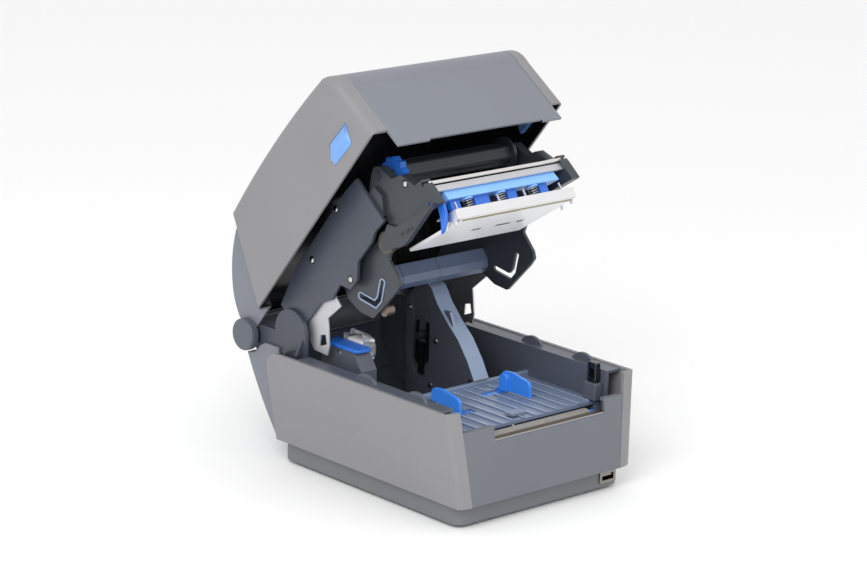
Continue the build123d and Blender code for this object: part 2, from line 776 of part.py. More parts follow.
with BuildPart() as media_bay:
    with BuildSketch(Plane.XY.offset(bay_floor - wall)):
        with Locations((0, (bay_front + bay_step) / 2)):
            Rectangle(2 * bracket_inner, bay_step - bay_front)
    extrude(amount=wall)
    with BuildSketch(Plane.XZ.offset(-bay_front - wall)):
        with Locations((0, bay_floor - wall)):
            Rectangle(2 * bed_half, bed_top - bay_floor - 1, align=(Align.CENTER, Align.MIN))
    extrude(amount=wall)
    with BuildSketch(base_side.offset(-barrel_half)):
        Polygon(
            (bay_step, bay_floor - wall),
            (bay_step, bay_step_height - wall),
            (bay_rear, bay_step_height - wall),
            (bay_rear, rim_height),
            (bay_rear - wall, rim_height),
            (bay_rear - wall, bay_step_height),
            (bay_step - wall, bay_step_height),
            (bay_step - wall, bay_floor - wall),
            align=None,
        )
    extrude(amount=2 * barrel_half)
    with BuildSketch(Plane.XY.offset(bay_floor)):
        with Locations((0, slot_y)):
            Rectangle(2 * (bracket_inner - 4), slot_width)
    extrude(amount=rail_top - bay_floor)
media_bay.part.label = "media_bay"
export_step(media_bay.part, "parts/media_bay.step")

# Roll holders: the right one is a plate with a bent band in front and a disc behind
roll_y = 62
roll_z = 104
disc_y = 73
disc_radius = 49
disc_top = 130
disc_wall = 3
holder_x = 22
holder_depth = 17
band_points = ((-5, 78.2), (4, 93.5), (16.5, 109.5), (30, 121), (44, 135.3), (52, 147.5), (59, 151), (67, 148.5))
rear_points = ((78.5, 139.7), (84.4, 131), (84, 90), (82.4, 72.6), (75.5, 50), (20, 50), (4, 66), (4, 78.2))
band_lean = (2.6, -1.6)
channel_y = 64
channel_width = 22
channel_depth = 1.6
channel_bottom = 65
channel_top = 137
shoe_wall = 4

with BuildPart() as right_holder:
    with BuildSketch(base_side.offset(holder_x)):
        Polygon(*band_points, *rear_points, align=None)
    extrude(amount=disc_wall)
    with BuildSketch(base_side.offset(holder_x + disc_wall)):
        with Locations((disc_y, roll_z)):
            Circle(disc_radius)
        with Locations((disc_y, disc_top)):
            Rectangle(2 * disc_radius, disc_radius, align=(Align.CENTER, Align.MIN), mode=Mode.SUBTRACT)
    extrude(amount=disc_wall)
    with BuildSketch(base_side.offset(holder_x)):
        Polygon(
            *band_points,
            *((band_y + band_lean[0], band_z + band_lean[1]) for band_y, band_z in reversed(band_points)),
            align=None,
        )
    extrude(amount=holder_depth)
    with BuildSketch(Plane.XY.offset(rail_top + 0.2)):
        with Locations((holder_x, slot_y)):
            Rectangle(holder_depth, 50, align=(Align.MIN, Align.CENTER))
    extrude(amount=shoe_wall)
    with BuildSketch(base_side.offset(holder_x)):
        with Locations((slot_y, rail_top + 0.2)):
            Rectangle(44, 24, align=(Align.CENTER, Align.MIN))
    extrude(amount=disc_wall)
    with BuildSketch(base_side.offset(holder_x)):
        with Locations((channel_y, (channel_bottom + channel_top) / 2)):
            SlotOverall(channel_top - channel_bottom, channel_width, rotation=90)
    extrude(amount=channel_depth, mode=Mode.SUBTRACT)
    with BuildSketch(base_side.offset(holder_x)):
        with Locations((roll_y, roll_z)):
            Circle(4 + running, mode=Mode.ADD)
    extrude(amount=2 * disc_wall, mode=Mode.SUBTRACT)
right_holder.part.label = "right_roll_holder"
export_step(right_holder.part, "parts/right_roll_holder.step")

with BuildPart() as right_hub:
    with BuildSketch(base_side.offset(holder_x - 6)):
        with Locations((roll_y, roll_z)):
            Circle(3)
    extrude(amount=6)
    with BuildSketch(base_side.offset(holder_x)):
        with Locations((roll_y, roll_z)):
            Circle(4)
    extrude(amount=2 * disc_wall + 3)
    with BuildSketch(base_side.offset(holder_x + 2 * disc_wall + 0.2)):
        with Locations((roll_y, roll_z)):
            Circle(7)
    extrude(amount=3)
right_hub.part.label = "right_roll_hub"
export_step(right_hub.part, "parts/right_roll_hub.step")

latch_legs = ((-1, -6, -10), (1, 6, -10))
with BuildPart() as hub_latch:
    with BuildSketch(base_side.offset(holder_x - 1.2)):
        with Locations((channel_y - 1, channel_bottom + 4)):
            Rectangle(6, roll_z - channel_bottom - 11, align=(Align.CENTER, Align.MIN))
        for way, foot_y, foot_z in latch_legs:
            Polygon(
                (roll_y + way * 5.4, roll_z + 12),
                (roll_y + way * 7.2, roll_z + 11),
                (channel_y - 1 + foot_y + way * 2, roll_z + foot_z - 12),
                (channel_y - 1 + way * 2.4, roll_z + foot_z - 18),
                (channel_y - 1 + way * 2.4, roll_z + foot_z - 13),
                (channel_y - 1 + foot_y, roll_z + foot_z - 9),
                align=None,
            )
    extrude(amount=1.2 + channel_depth)
hub_latch.part.label = "hub_latch"
export_step(hub_latch.part, "parts/hub_latch.step")

left_block_inner = 55
left_block_outer = 72
left_block_front = 32
left_block_rear = 84
left_block_top = 108
white_hub_radius = 19
white_hub_shaft = 3
white_hub_length = 15
lever_x = -(left_block_inner + left_block_outer) / 2
lever_stem = 8
lever_stem_width = 5
lever_stem_y = left_block_front + 12
lever_travel = 6
lever_stem_depth = 2.5

with BuildPart() as left_holder:
    with BuildSketch(base_side.offset(-left_block_outer)):
        Polygon(
            (left_block_front, rail_top),
            (left_block_rear, rail_top),
            (left_block_rear, left_block_top),
            (left_block_front + 10, left_block_top),
            (left_block_front, left_block_top - 14),
            align=None,
        )
        with Locations((roll_y, roll_z)):
            Circle(white_hub_shaft + running, mode=Mode.SUBTRACT)
    extrude(amount=left_block_outer - left_block_inner)
    fillet(left_holder.edges().filter_by(Axis.X).group_by(Axis.Z)[-1], 2)
    with BuildSketch(Plane.XY.offset(left_block_top - lever_stem_depth)):
        with Locations((lever_x, lever_stem_y - fit)):
            Rectangle(
                lever_stem_width + 2 * running,
                lever_stem + lever_travel + 2 * fit,
                align=(Align.CENTER, Align.MIN),
            )
    extrude(amount=lever_stem_depth, mode=Mode.SUBTRACT)
left_holder.part.label = "left_roll_holder"
export_step(left_holder.part, "parts/left_roll_holder.step")

with BuildPart() as left_hub:
    with BuildSketch(base_side.offset(-left_block_inner + 0.3)):
        with Locations((roll_y, roll_z)):
            Circle(white_hub_radius)
    extrude(amount=white_hub_length, taper=12)
    with BuildSketch(base_side.offset(-left_block_outer + 3)):
        with Locations((roll_y, roll_z)):
            Circle(white_hub_shaft)
    extrude(amount=left_block_outer - left_block_inner - 2.7)
left_hub.part.label = "left_roll_hub"
export_step(left_hub.part, "parts/left_roll_hub.step")

lever_wall = 3
with BuildPart() as holder_lever:
    with BuildSketch(Plane.XY.offset(left_block_top + fit)):
        with Locations((lever_x, (left_block_front + left_block_rear) / 2 + 2)):
            RectangleRounded(left_block_outer - left_block_inner, left_block_rear - left_block_front - 8, 4)
    extrude(amount=lever_wall)
    fillet(holder_lever.faces().sort_by(Axis.Z)[-1].edges(), 1)
    with BuildSketch(Plane.XY.offset(left_block_top + fit - lever_stem_depth)):
        with Locations((lever_x, lever_stem_y)):
            Rectangle(lever_stem_width, lever_stem, align=(Align.CENTER, Align.MIN))
    extrude(amount=lever_stem_depth)
holder_lever.part.label = "holder_lock_lever"
export_step(holder_lever.part, "parts/holder_lock_lever.step")

# Post, socket and bracket at the front corners, and the media sensor
post_y = -87
post_x = (block_outer + liner_inner) / 2
socket_bottom = bed_top + rib_height
socket_top = 87
post_top = 104

with BuildPart() as post_socket:
    with BuildSketch(Plane.XY.offset(socket_bottom)):
        with Locations((post_x - 1.3, post_y - 0.5)):
            RectangleRounded(9, 15, 1.5)
    extrude(amount=socket_top - socket_bottom)
    chamfer(post_socket.faces().sort_by(Axis.Z)[-1].edges(), 0.8)
post_socket.part.label = "post_socket"
export_step(post_socket.part, "parts/post_socket.step")

with BuildPart() as latch_post:
    with BuildSketch(Plane.XY.offset(socket_top)):
        with Locations((post_x, post_y)):
            RectangleRounded(6.4, 10, 1.2)
    extrude(amount=post_top - socket_top)
    with BuildSketch(Plane.YZ.offset(post_x - 6)):
        with Locations((post_y, socket_top + 8)):
            Rectangle(5, 7)
    extrude(amount=12, mode=Mode.SUBTRACT)
    fillet(latch_post.faces().sort_by(Axis.Z)[-1].edges(), 1.2)
latch_post.part.label = "latch_post"
export_step(latch_post.part, "parts/latch_post.step")

corner_y = -72
corner_z = rim_height - 7
with BuildPart() as corner_bracket:
    with BuildSketch(base_side.offset(-liner_inner)):
        with Locations((corner_y, corner_z)):
            RectangleRounded(15, 12, 1.5)
    extrude(amount=1.5)
    with BuildSketch(base_side.offset(-liner_inner + 1.5)):
        with Locations((corner_y, corner_z)):
            Circle(2.8)
    extrude(amount=1.4)
corner_bracket.part.label = "corner_bracket"
export_step(corner_bracket.part, "parts/corner_bracket.step")

sensor_y = -80
with BuildPart() as media_sensor:
    with BuildSketch(Plane.XY.offset(bed_top + rib_height + 0.2)):
        with Locations((0, sensor_y)):
            RectangleRounded(16, 10, 1.5)
    extrude(amount=2)
media_sensor.part.label = "media_sensor"
export_step(media_sensor.part, "parts/media_sensor.step")

# Ports, switch, main board and screws
with BuildPart() as usb_port:
    with BuildSketch(Plane.XZ.offset(-pan_front)):
        with Locations((usb_x, usb_z)):
            RectangleRounded(usb_width + 2 * bezel, usb_height + 2 * bezel, 1.2)
            Rectangle(usb_width, usb_height, mode=Mode.SUBTRACT)
    extrude(amount=1.4)
    with BuildSketch(Plane.XZ.offset(-pan_front)):
        with Locations((usb_x, usb_z)):
            Rectangle(usb_width + 1.4, usb_height + 1.4)
            Rectangle(usb_width, usb_height, mode=Mode.SUBTRACT)
    extrude(amount=-usb_depth)
    with BuildSketch(Plane.XZ.offset(-pan_front)):
        with Locations((usb_x, usb_z + 1.2)):
            Rectangle(usb_width - 2, 1.8)
    extrude(amount=-usb_depth + 2)
    with BuildSketch(Plane.XZ.offset(-pan_front - usb_depth + 2)):
        with Locations((usb_x, usb_z)):
            Rectangle(usb_width + 1, usb_height + 1)
    extrude(amount=-2)
usb_port.part.label = "usb_host_port"
export_step(usb_port.part, "parts/usb_host_port.step")

port_depth = 14
switch_wall = 1.2
rocker_pin = 0.8
rocker_y = pan_rear - 3
with BuildPart() as rear_ports:
    with BuildSketch(Plane.XZ.offset(-pan_rear)):
        with Locations((jack_x, port_z)):
            Circle(port_radius)
            Circle(port_radius - 1.4, mode=Mode.SUBTRACT)
    extrude(amount=port_depth)
    with BuildSketch(Plane.XZ.offset(-pan_rear + port_depth)):
        with Locations((jack_x, port_z)):
            Circle(1.1)
    extrude(amount=-port_depth + 1)
    with BuildSketch(Plane.XZ.offset(-pan_rear + port_depth - 2)):
        with Locations((jack_x, port_z)):
            Circle(port_radius)
    extrude(amount=2)
    with BuildSketch(Plane.XZ.offset(-pan_rear)):
        with Locations((data_x, port_z)):
            Rectangle(data_width, data_height)
            Rectangle(data_width - 2.4, data_height - 2.4, mode=Mode.SUBTRACT)
        with Locations((net_x, port_z)):
            Rectangle(net_width, net_height)
            Rectangle(net_width - 3, net_height - 3, mode=Mode.SUBTRACT)
    extrude(amount=port_depth)
    with BuildSketch(Plane.XZ.offset(-pan_rear + port_depth - 2)):
        with Locations((data_x, port_z)):
            Rectangle(data_width, data_height)
        with Locations((net_x, port_z)):
            Rectangle(net_width, net_height)
    extrude(amount=2)
    with BuildSketch(Plane.XZ.offset(-pan_rear)):
        with Locations((switch_x, port_z)):
            Rectangle(switch_width, switch_height)
            Rectangle(switch_width - 3, switch_height - 2 * switch_wall, mode=Mode.SUBTRACT)
    extrude(amount=8)
    with BuildSketch(Plane.XY.offset(port_z - switch_height / 2)):
        with Locations((switch_x, rocker_y)):
            Circle(rocker_pin + running)
    extrude(amount=switch_height, mode=Mode.SUBTRACT)
rear_ports.part.label = "rear_ports"
export_step(rear_ports.part, "parts/rear_ports.step")

rocker_half = (switch_width - 3) / 2 - 3 * fit
with BuildPart() as power_rocker:
    with BuildSketch(Plane.XY.offset(port_z - switch_height / 2 + switch_wall + fit)):
        Polygon(
            (switch_x - rocker_half, pan_rear - 0.4),
            (switch_x, pan_rear - 1.6),
            (switch_x + rocker_half, pan_rear + 0.6),
            (switch_x + rocker_half * 0.6, pan_rear - 4.5),
            (switch_x - rocker_half * 0.6, pan_rear - 4.5),
            align=None,
        )
    extrude(amount=switch_height - 2 * switch_wall - 2 * fit)
    with BuildSketch(Plane.XY.offset(port_z - switch_height / 2)):
        with Locations((switch_x, rocker_y)):
            Circle(rocker_pin)
    extrude(amount=switch_height)
power_rocker.part.label = "power_rocker"
export_step(power_rocker.part, "parts/power_rocker.step")

with BuildPart() as main_board:
    with BuildSketch(Plane.XY.offset(board_z)):
        with Locations((0, board_y)):
            Rectangle(board_width, board_length)
    extrude(amount=1.6)
    with BuildSketch(Plane.XY.offset(board_z + 1.6)):
        with Locations((-20, board_y + 10)):
            Rectangle(24, 24)
        with Locations((30, board_y - 15)):
            Rectangle(14, 20)
        with Locations((-40, board_y - 28), (-28, board_y - 28), (-16, board_y - 28)):
            Circle(4)
    extrude(amount=4)
    with BuildSketch(Plane.XY.offset(board_z + 1.6)):
        with Locations((0, board_y)):
            with GridLocations(board_width - 10, board_length - 10, 2, 2):
                Circle(screw_radius)
    extrude(amount=1.4)
main_board.part.label = "main_board"
export_step(main_board.part, "parts/main_board.step")

with BuildPart() as holder_screws:
    with BuildSketch(base_side.offset(holder_x - 1)):
        with Locations((79, 125), (45, 102), (50.5, 61)):
            Circle(screw_radius)
    extrude(amount=1)
holder_screws.part.label = "holder_screws"
export_step(holder_screws.part, "parts/holder_screws.step")

# Cover: light side panels, dark centre cover and narrow rear shell
panel_base = rim_height + 1
centre_base = panel_top + 1
front_low = (front_top - 1.8, centre_base)
front_high = (-109.3, 150)
crown_front = (-94.4, 173.6)
crown_middle = (0, 180.3)
crown_rear = (82.6, 178)
seam_foot = (119.4, panel_base)
brow = (-105.4, 165.5)
edge_round = 7
front_slope = (front_high[0] - front_low[0]) / (front_high[1] - front_low[1])
front_foot = (front_low[0] + front_slope * (panel_base - centre_base), panel_base)
cover_inner = half_width - wall

latch_points = (
    (-93.6, panel_base + 27.5),
    (-64, panel_base + 29.3),
    (-57, panel_base + 12.8),
    (-87, panel_base + 11),
)

with BuildPart() as panel_solid:
    with BuildSketch(cover_side.offset(cover_half)):
        with BuildLine():
            Line(front_foot, front_high)
            ThreePointArc(front_high, brow, crown_front)
            ThreePointArc(crown_front, crown_middle, crown_rear)
            Line(crown_rear, seam_foot)
            Line(seam_foot, front_foot)
        make_face()
    extrude(amount=half_width - cover_half)
    outer_face = panel_solid.faces().sort_by(Axis.X)[-1]
    bottom_edge = outer_face.edges().sort_by_distance((half_width, *opened(0, panel_base)))[0]
    fillet([edge for edge in outer_face.edges() if not edge.is_same(bottom_edge)], edge_round)
with BuildPart() as panel_hollow:
    with BuildSketch(cover_side.offset(cover_half - 2)):
        with BuildLine():
            Line((front_foot[0] + wall, panel_base - 5), (front_high[0] + wall, front_high[1]))
            ThreePointArc(
                (front_high[0] + wall, front_high[1]),
                (brow[0] + wall * 0.8, brow[1] - wall * 0.6),
                (crown_front[0] + wall * 0.3, crown_front[1] - wall),
            )
            ThreePointArc(
                (crown_front[0] + wall * 0.3, crown_front[1] - wall),
                (crown_middle[0], crown_middle[1] - wall),
                (crown_rear[0] - wall * 0.6, crown_rear[1] - wall),
            )
            Line(
                (crown_rear[0] - wall * 0.6, crown_rear[1] - wall),
                (seam_foot[0] - wall * 1.1, panel_base),
            )
            Line((seam_foot[0] - wall * 1.1, panel_base), (seam_foot[0] - wall * 1.1, panel_base - 5))
            Line((seam_foot[0] - wall * 1.1, panel_base - 5), (front_foot[0] + wall, panel_base - 5))
        make_face()
    extrude(amount=cover_inner - cover_half + 2)
with BuildPart() as right_cover_side:
    add(panel_solid.part)
    add(panel_hollow.part, mode=Mode.SUBTRACT)
    with BuildSketch(cover_side.offset(cover_inner - 1)):
        Polygon(*latch_points, align=None)
    extrude(amount=half_width, mode=Mode.SUBTRACT)
with BuildPart() as cover_sides:
    add(right_cover_side.part)
    mirror(right_cover_side.part, about=Plane.YZ)
cover_sides.part.label = "cover_sides"
export_step(cover_sides.part, "parts/cover_sides.step")

latch_middle_y = sum(point[0] for point in latch_points) / 4
latch_middle_z = sum(point[1] for point in latch_points) / 4
latch_shrink = 0.955
latch_outline = tuple(
    (
        latch_middle_y + (point[0] - latch_middle_y) * latch_shrink,
        latch_middle_z + (point[1] - latch_middle_z) * latch_shrink,
    )
    for point in latch_points
)
crest_shares = (0.18, 0.18, 0.55, 0.55)
latch_crest = tuple(
    (
        latch_middle_y + (point[0] - latch_middle_y) * 0.9,
        latch_middle_z + (point[1] - latch_middle_z) * share + 2,
    )
    for point, share in zip(latch_outline, crest_shares)
)
latch_depth = 6
crest_height = 2.6

with BuildPart() as right_latch:
    with BuildSketch(cover_side.offset(half_width - latch_depth)):
        Polygon(*latch_outline, align=None)
    extrude(amount=latch_depth)
    with BuildSketch(cover_side.offset(half_width)):
        Polygon(*latch_outline, align=None)
    with BuildSketch(cover_side.offset(half_width + crest_height)):
        Polygon(*latch_crest, align=None)
    loft(ruled=True)
right_latch.part.label = "right_latch_button"
export_step(right_latch.part, "parts/right_latch_button.step")

with BuildPart() as left_latch:
    mirror(right_latch.part, about=Plane.YZ)
left_latch.part.label = "left_latch_button"
export_step(left_latch.part, "parts/left_latch_button.step")

centre_half = cover_half
centre_rear = crown_rear[0]
centre_rear_z = crown_rear[1]
lip_height = 2
with BuildPart() as centre_cover:
    with BuildSketch(cover_side.offset(-centre_half)):
        with BuildLine():
            Line(front_low, front_high)
            ThreePointArc(front_high, brow, crown_front)
            ThreePointArc(crown_front, crown_middle, (centre_rear, centre_rear_z))
            Line((centre_rear, centre_rear_z), (centre_rear, centre_rear_z - wall))
            ThreePointArc(
                (centre_rear, centre_rear_z - wall),
                (crown_middle[0], crown_middle[1] - wall),
                (crown_front[0] + wall * 0.3, crown_front[1] - wall),
            )
            ThreePointArc(
                (crown_front[0] + wall * 0.3, crown_front[1] - wall),
                (brow[0] + wall * 0.8, brow[1] - wall * 0.6),
                (front_high[0] + wall, front_high[1]),
            )
            Line((front_high[0] + wall, front_high[1]), (front_low[0] + wall, centre_base))
            Line((front_low[0] + wall, centre_base), front_low)
        make_face()
    extrude(amount=2 * centre_half)
    with BuildSketch(cover_side.offset(mouth_left)):
        with Locations((front_low[0], centre_base)):
            Rectangle(12, 2 * lip_height)
    extrude(amount=mouth_right - mouth_left, mode=Mode.SUBTRACT)
centre_cover.part.label = "centre_cover"
export_step(centre_cover.part, "parts/centre_cover.step")

# Rear shell: behind the seam, down to the hinge
shell_top = crown_rear
shell_a = (119.5, 164.1)
shell_b = (146.3, 141)
shell_c = (155.7, 124)
shell_clear = barrel_radius + 1.3
shell_end = (hinge_y - shell_clear * sin(radians(4)), hinge_z + shell_clear * cos(radians(4)))
shell_lug = 13

with BuildPart() as rear_shell:
    with BuildSketch(cover_side.offset(-narrow_half)):
        with BuildLine():
            ThreePointArc(shell_top, shell_a, shell_b)
            ThreePointArc(shell_b, (shell_c[0] - 0.4, shell_c[1] + 1.2), (shell_end[0] + 0.6, shell_end[1]))
            Line((shell_end[0] + 0.6, shell_end[1]), (hinge_y, hinge_z))
            Line((hinge_y, hinge_z), (hinge_y - 12, panel_base))
            Line((hinge_y - 12, panel_base), seam_foot)
            Line(seam_foot, shell_top)
        make_face()
        with Locations((hinge_y, hinge_z)):
            Circle(shell_clear, mode=Mode.SUBTRACT)
    extrude(amount=2 * narrow_half)
    with BuildSketch(cover_side.offset(-narrow_half + shell_wall)):
        with BuildLine():
            ThreePointArc(
                (shell_top[0] - 1, shell_top[1] - wall),
                (shell_a[0] - wall * 0.4, shell_a[1] - wall),
                (shell_b[0] - wall * 0.8, shell_b[1] - wall * 0.7),
            )
            ThreePointArc(
                (shell_b[0] - wall * 0.8, shell_b[1] - wall * 0.7),
                (shell_c[0] - wall - 0.4, shell_c[1] + 0.6),
                (shell_end[0] - wall + 0.6, shell_end[1] - 4),
            )
            Line((shell_end[0] - wall + 0.6, shell_end[1] - 4), (shell_end[0] - 4, panel_base - 8))
            Line((shell_end[0] - 4, panel_base - 8), (shell_top[0] - 1, panel_base - 8))
            Line((shell_top[0] - 1, panel_base - 8), (shell_top[0] - 1, shell_top[1] - wall))
        make_face()
    extrude(amount=2 * (narrow_half - shell_wall), mode=Mode.SUBTRACT)
    for side in (-1, 1):
        with BuildSketch(layer(cover_side, side, narrow_half - shell_wall, narrow_half)):
            Polygon(
                (hinge_y - 30, panel_base + 14),
                (hinge_y - 30, panel_base),
                (hinge_y - shell_lug, panel_base),
                (hinge_y, hinge_z),
                (hinge_y - 2, hinge_z + shell_clear + 3),
                align=None,
            )
            with Locations((hinge_y, hinge_z)):
                Circle(shell_lug)
                Circle(hinge_pin_radius + running, mode=Mode.SUBTRACT)
        extrude(amount=shell_wall)
rear_shell.part.label = "rear_shell"
export_step(rear_shell.part, "parts/rear_shell.step")

# Print mechanism: side plates on the ears' pins, end blocks, rod and cross pieces
plate_pivot = shut(pivot_y, pivot_z)
pivot_lug = 8
carrier_y = -32
carrier_z = 47
carrier_pin = 3
web_wall = 3.2
web_outer = block_inner + web_wall
rod_radius = 1.8
rod_y = -102.5
rod_z = 50.5
rod_half = 73
take_up_y = -65
take_up_z = 91
axle_radius = 3.5
lever_pivot_y = -97.5
lever_pivot_z = 34
release_pin = 1.5

with BuildPart() as plates:
    for side in (-1, 1):
        with BuildSketch(layer(cover_side, side, plate_inner, plate_outer)):
            Polygon(
                (-49, 57),
                (-49, 102.4),
                (-30, 105),
                (70, 104),
                (111, 96),
                (plate_pivot[0] + pivot_lug, plate_pivot[1]),
                (plate_pivot[0], plate_pivot[1] - pivot_lug),
                (68, 63.4),
                (54, 56),
                (35, 57.5),
                (28, 46.5),
                (15, 46.5),
                (2, 56),
                (-23.6, 55.5),
                (-33.4, 58.5),
                align=None,
            )
            with Locations(plate_pivot):
                Circle(pivot_lug)
                Circle(pivot_pin_radius + running, mode=Mode.SUBTRACT)
        extrude(amount=plate_wall)
plates.part.label = "mechanism_plates"
export_step(plates.part, "parts/mechanism_plates.step")

with BuildPart() as arms:
    for side in (-1, 1):
        with BuildSketch(layer(cover_side, side, plate_inner - arm_wall, plate_inner)):
            Polygon(
                (51.5, 46.5),
                (50, 60),
                (58, 68),
                (plate_pivot[0] - 8, plate_pivot[1] + 6),
                plate_pivot,
                (plate_pivot[0] + 6, plate_pivot[1] - 8),
                (108, 44),
                (98, 30),
                (90, 34),
                (77.3, 46.6),
                (73.5, 50.8),
                align=None,
            )
            with Locations(plate_pivot):
                Circle(pivot_lug)
                Circle(pivot_pin_radius + running, mode=Mode.SUBTRACT)
            Polygon((91.9, 47.4), (86.2, 43.4), (91.4, 37), (100.2, 41.9), align=None, mode=Mode.SUBTRACT)
        extrude(amount=arm_wall)
arms.part.label = "mechanism_arms"
export_step(arms.part, "parts/mechanism_arms.step")

with BuildPart() as blocks:
    for side in (-1, 1):
        with BuildSketch(layer(cover_side, side, block_inner, block_outer)):
            Polygon(
                (-48, 90),
                (-60, 97),
                (-71, 96),
                (-76.3, 78.1),
                (-87.5, 72.8),
                (-94, 56),
                (-103.8, 54),
                (-104.6, 46),
                (-104.6, 29),
                (-103, 29),
                (-53, 46),
                (-46, 56),
                align=None,
            )
            with Locations((take_up_y, take_up_z)):
                Circle(axle_radius + 4)
                Circle(axle_radius + running, mode=Mode.SUBTRACT)
        extrude(amount=block_outer - block_inner)
        with BuildSketch(layer(cover_side, side, block_outer, plate_inner)):
            Polygon((-60, 74), (-58, 86), (-42, 86), (-42, 66), (-49, 62), align=None)
        extrude(amount=plate_inner - block_outer)
        with BuildSketch(layer(cover_side, side, block_inner, web_outer)):
            Polygon(
                (-53, 45.5),
                (-48, 60),
                (carrier_y + 6, carrier_z + 7),
                (carrier_y + 9, carrier_z - 4),
                (carrier_y - 4, carrier_z - 9),
                align=None,
            )
            with Locations((carrier_y, carrier_z)):
                Circle(carrier_pin + running, mode=Mode.SUBTRACT)
        extrude(amount=web_wall)
        with BuildSketch(layer(cover_side, side, block_inner, block_outer)):
            with Locations((rod_y, rod_z)):
                Circle(rod_radius)
            if side < 0:
                with Locations((lever_pivot_y, lever_pivot_z)):
                    Circle(release_pin + running)
        extrude(amount=block_outer - block_inner, mode=Mode.SUBTRACT)
blocks.part.label = "mechanism_blocks"
export_step(blocks.part, "parts/mechanism_blocks.step")

with BuildPart() as head_rod:
    with BuildSketch(cover_side.offset(-rod_half)):
        with Locations((rod_y, rod_z)):
            Circle(rod_radius)
    extrude(amount=2 * rod_half)
    chamfer(head_rod.edges().filter_by(GeomType.CIRCLE), 0.4)
head_rod.part.label = "head_rod"
export_step(head_rod.part, "parts/head_rod.step")

with BuildPart() as head_flange:
    with BuildSketch(cover_side.offset(-block_inner)):
        Polygon(
            (-102, 47.6),
            (-66, 56),
            (-66, 54),
            (-99.4, 45.8),
            (-100.6, 41.4),
            (-102.4, 41.4),
            align=None,
        )
    extrude(amount=2 * block_inner)
head_flange.part.label = "head_flange"
export_step(head_flange.part, "parts/head_flange.step")

# Print head, drawn on a plane tilted with it: along the head, and away from the platen
head_y = -97
head_z = 12.4
head_tilt = 19
head_angle = radians(head_tilt - open_angle)
head_side = Plane(
    origin=(0, *opened(head_y, head_z)),
    x_dir=(0, cos(head_angle), sin(head_angle)),
    z_dir=(1, 0, 0),
)
head_face = Plane(origin=head_side.origin, x_dir=(1, 0, 0), z_dir=(0, -sin(head_angle), cos(head_angle)))
head_half = 61
bracket_half = 65
head_length = 70
head_thick = 8.6
sheet = 1.6
bracket_front = -4.7
bracket_low = 1.5
bracket_length = 22
bracket_top = head_thick + sheet
fork_rear = 15.5
fork_width = 3
fork_arch = 2.5
fork_front_tip = -2
fork_rear_tip = -2.7

with BuildPart() as print_head:
    with BuildSketch(head_side.offset(-head_half)):
        Polygon(
            (bracket_front + sheet, 1),
            (bracket_front + sheet + 2, 0),
            (head_length, 0),
            (head_length, 2.6),
            (bracket_length - 2, 2.6),
            (bracket_length - 6, head_thick),
            (bracket_front + sheet, head_thick),
            align=None,
        )
    extrude(amount=2 * head_half)
print_head.part.label = "print_head"
export_step(print_head.part, "parts/print_head.step")

with BuildPart() as head_bracket:
    with BuildSketch(head_side.offset(-bracket_half)):
        Polygon(
            (bracket_front, bracket_low),
            (bracket_front, bracket_top),
            (bracket_length, bracket_top),
            (bracket_length, head_thick),
            (bracket_front + sheet, head_thick),
            (bracket_front + sheet, bracket_low),
            align=None,
        )
    extrude(amount=2 * bracket_half)
    for side in (-1, 1):
        with BuildSketch(layer(head_side, side, bracket_half - sheet, bracket_half)):
            Polygon(
                (bracket_front + sheet, bracket_low),
                (bracket_front + sheet, head_thick),
                (fork_rear, head_thick),
                (fork_rear + 1, fork_rear_tip),
                (fork_rear + 1 - fork_width * 0.6, fork_rear_tip),
                (fork_rear - fork_width, fork_arch - 1),
                (fork_rear - fork_width - 3, fork_arch + 1),
                (fork_width + 4, fork_arch + 1),
                (fork_width + 1, fork_arch - 1),
                (fork_width, fork_front_tip),
                (fork_width * 0.4, fork_front_tip),
                (0, bracket_low),
                align=None,
            )
        extrude(amount=sheet)
head_bracket.part.label = "head_bracket"
export_step(head_bracket.part, "parts/head_bracket.step")

# Coil springs stand on the bracket and push on seats under the blue bar
spring_xs = (-38, -2, 34)
spring_along = 9
spring_radius = 4
spring_wire = 0.9
spring_turns = 4
spring_gap = 8.8
spring_height = spring_gap - spring_wire
seat_height = 1.7
seat_radius = 5.2
bar_bottom = bracket_top + spring_gap + seat_height
bar_half = 61

with BuildPart() as pressure_bar:
    with BuildSketch(head_side.offset(-bar_half)):
        Polygon(
            (3.4, bar_bottom),
            (18, bar_bottom),
            (19, bar_bottom + 7),
            (7.4, bar_bottom + 9),
            align=None,
        )
    extrude(amount=2 * bar_half)
    with BuildSketch(head_side.offset(-block_inner)):
        Polygon(
            (14.5, bar_bottom + 2),
            (18, bar_bottom + 2),
            (18.6, bar_bottom + 6),
            (14.5, bar_bottom + 6),
            align=None,
        )
    extrude(amount=2 * block_inner)
    with BuildSketch(head_face.offset(bar_bottom - seat_height)):
        with Locations(*((spring_x, spring_along) for spring_x in spring_xs)):
            Circle(seat_radius)
    extrude(amount=seat_height + 1)
pressure_bar.part.label = "pressure_bar"
export_step(pressure_bar.part, "parts/pressure_bar.step")


def biarc_joint(start, start_way, end, end_way):
    """The joint of two tangent arcs from start to end, and the direction of the curve there."""
    chord = end - start
    ways = start_way + end_way
    closeness = 2 * (1 - start_way.dot(end_way))
    along = chord.dot(ways)
    reach = (sqrt(along**2 + closeness * chord.dot(chord)) - along) / closeness
    first = start + start_way * reach
    second = end - end_way * reach
    return (first + second) * 0.5, (second - first).normalized()


def coil_point(angle):
    """A point of the coil's centre line."""
    height = spring_height * angle / (2 * pi * spring_turns)
    return Vector(spring_radius * cos(angle), spring_radius * sin(angle), height)


def coil_way(angle):
    """The direction of the coil's centre line."""
    rise = spring_height / (2 * pi * spring_turns)
    return Vector(-spring_radius * sin(angle), spring_radius * cos(angle), rise).normalized()


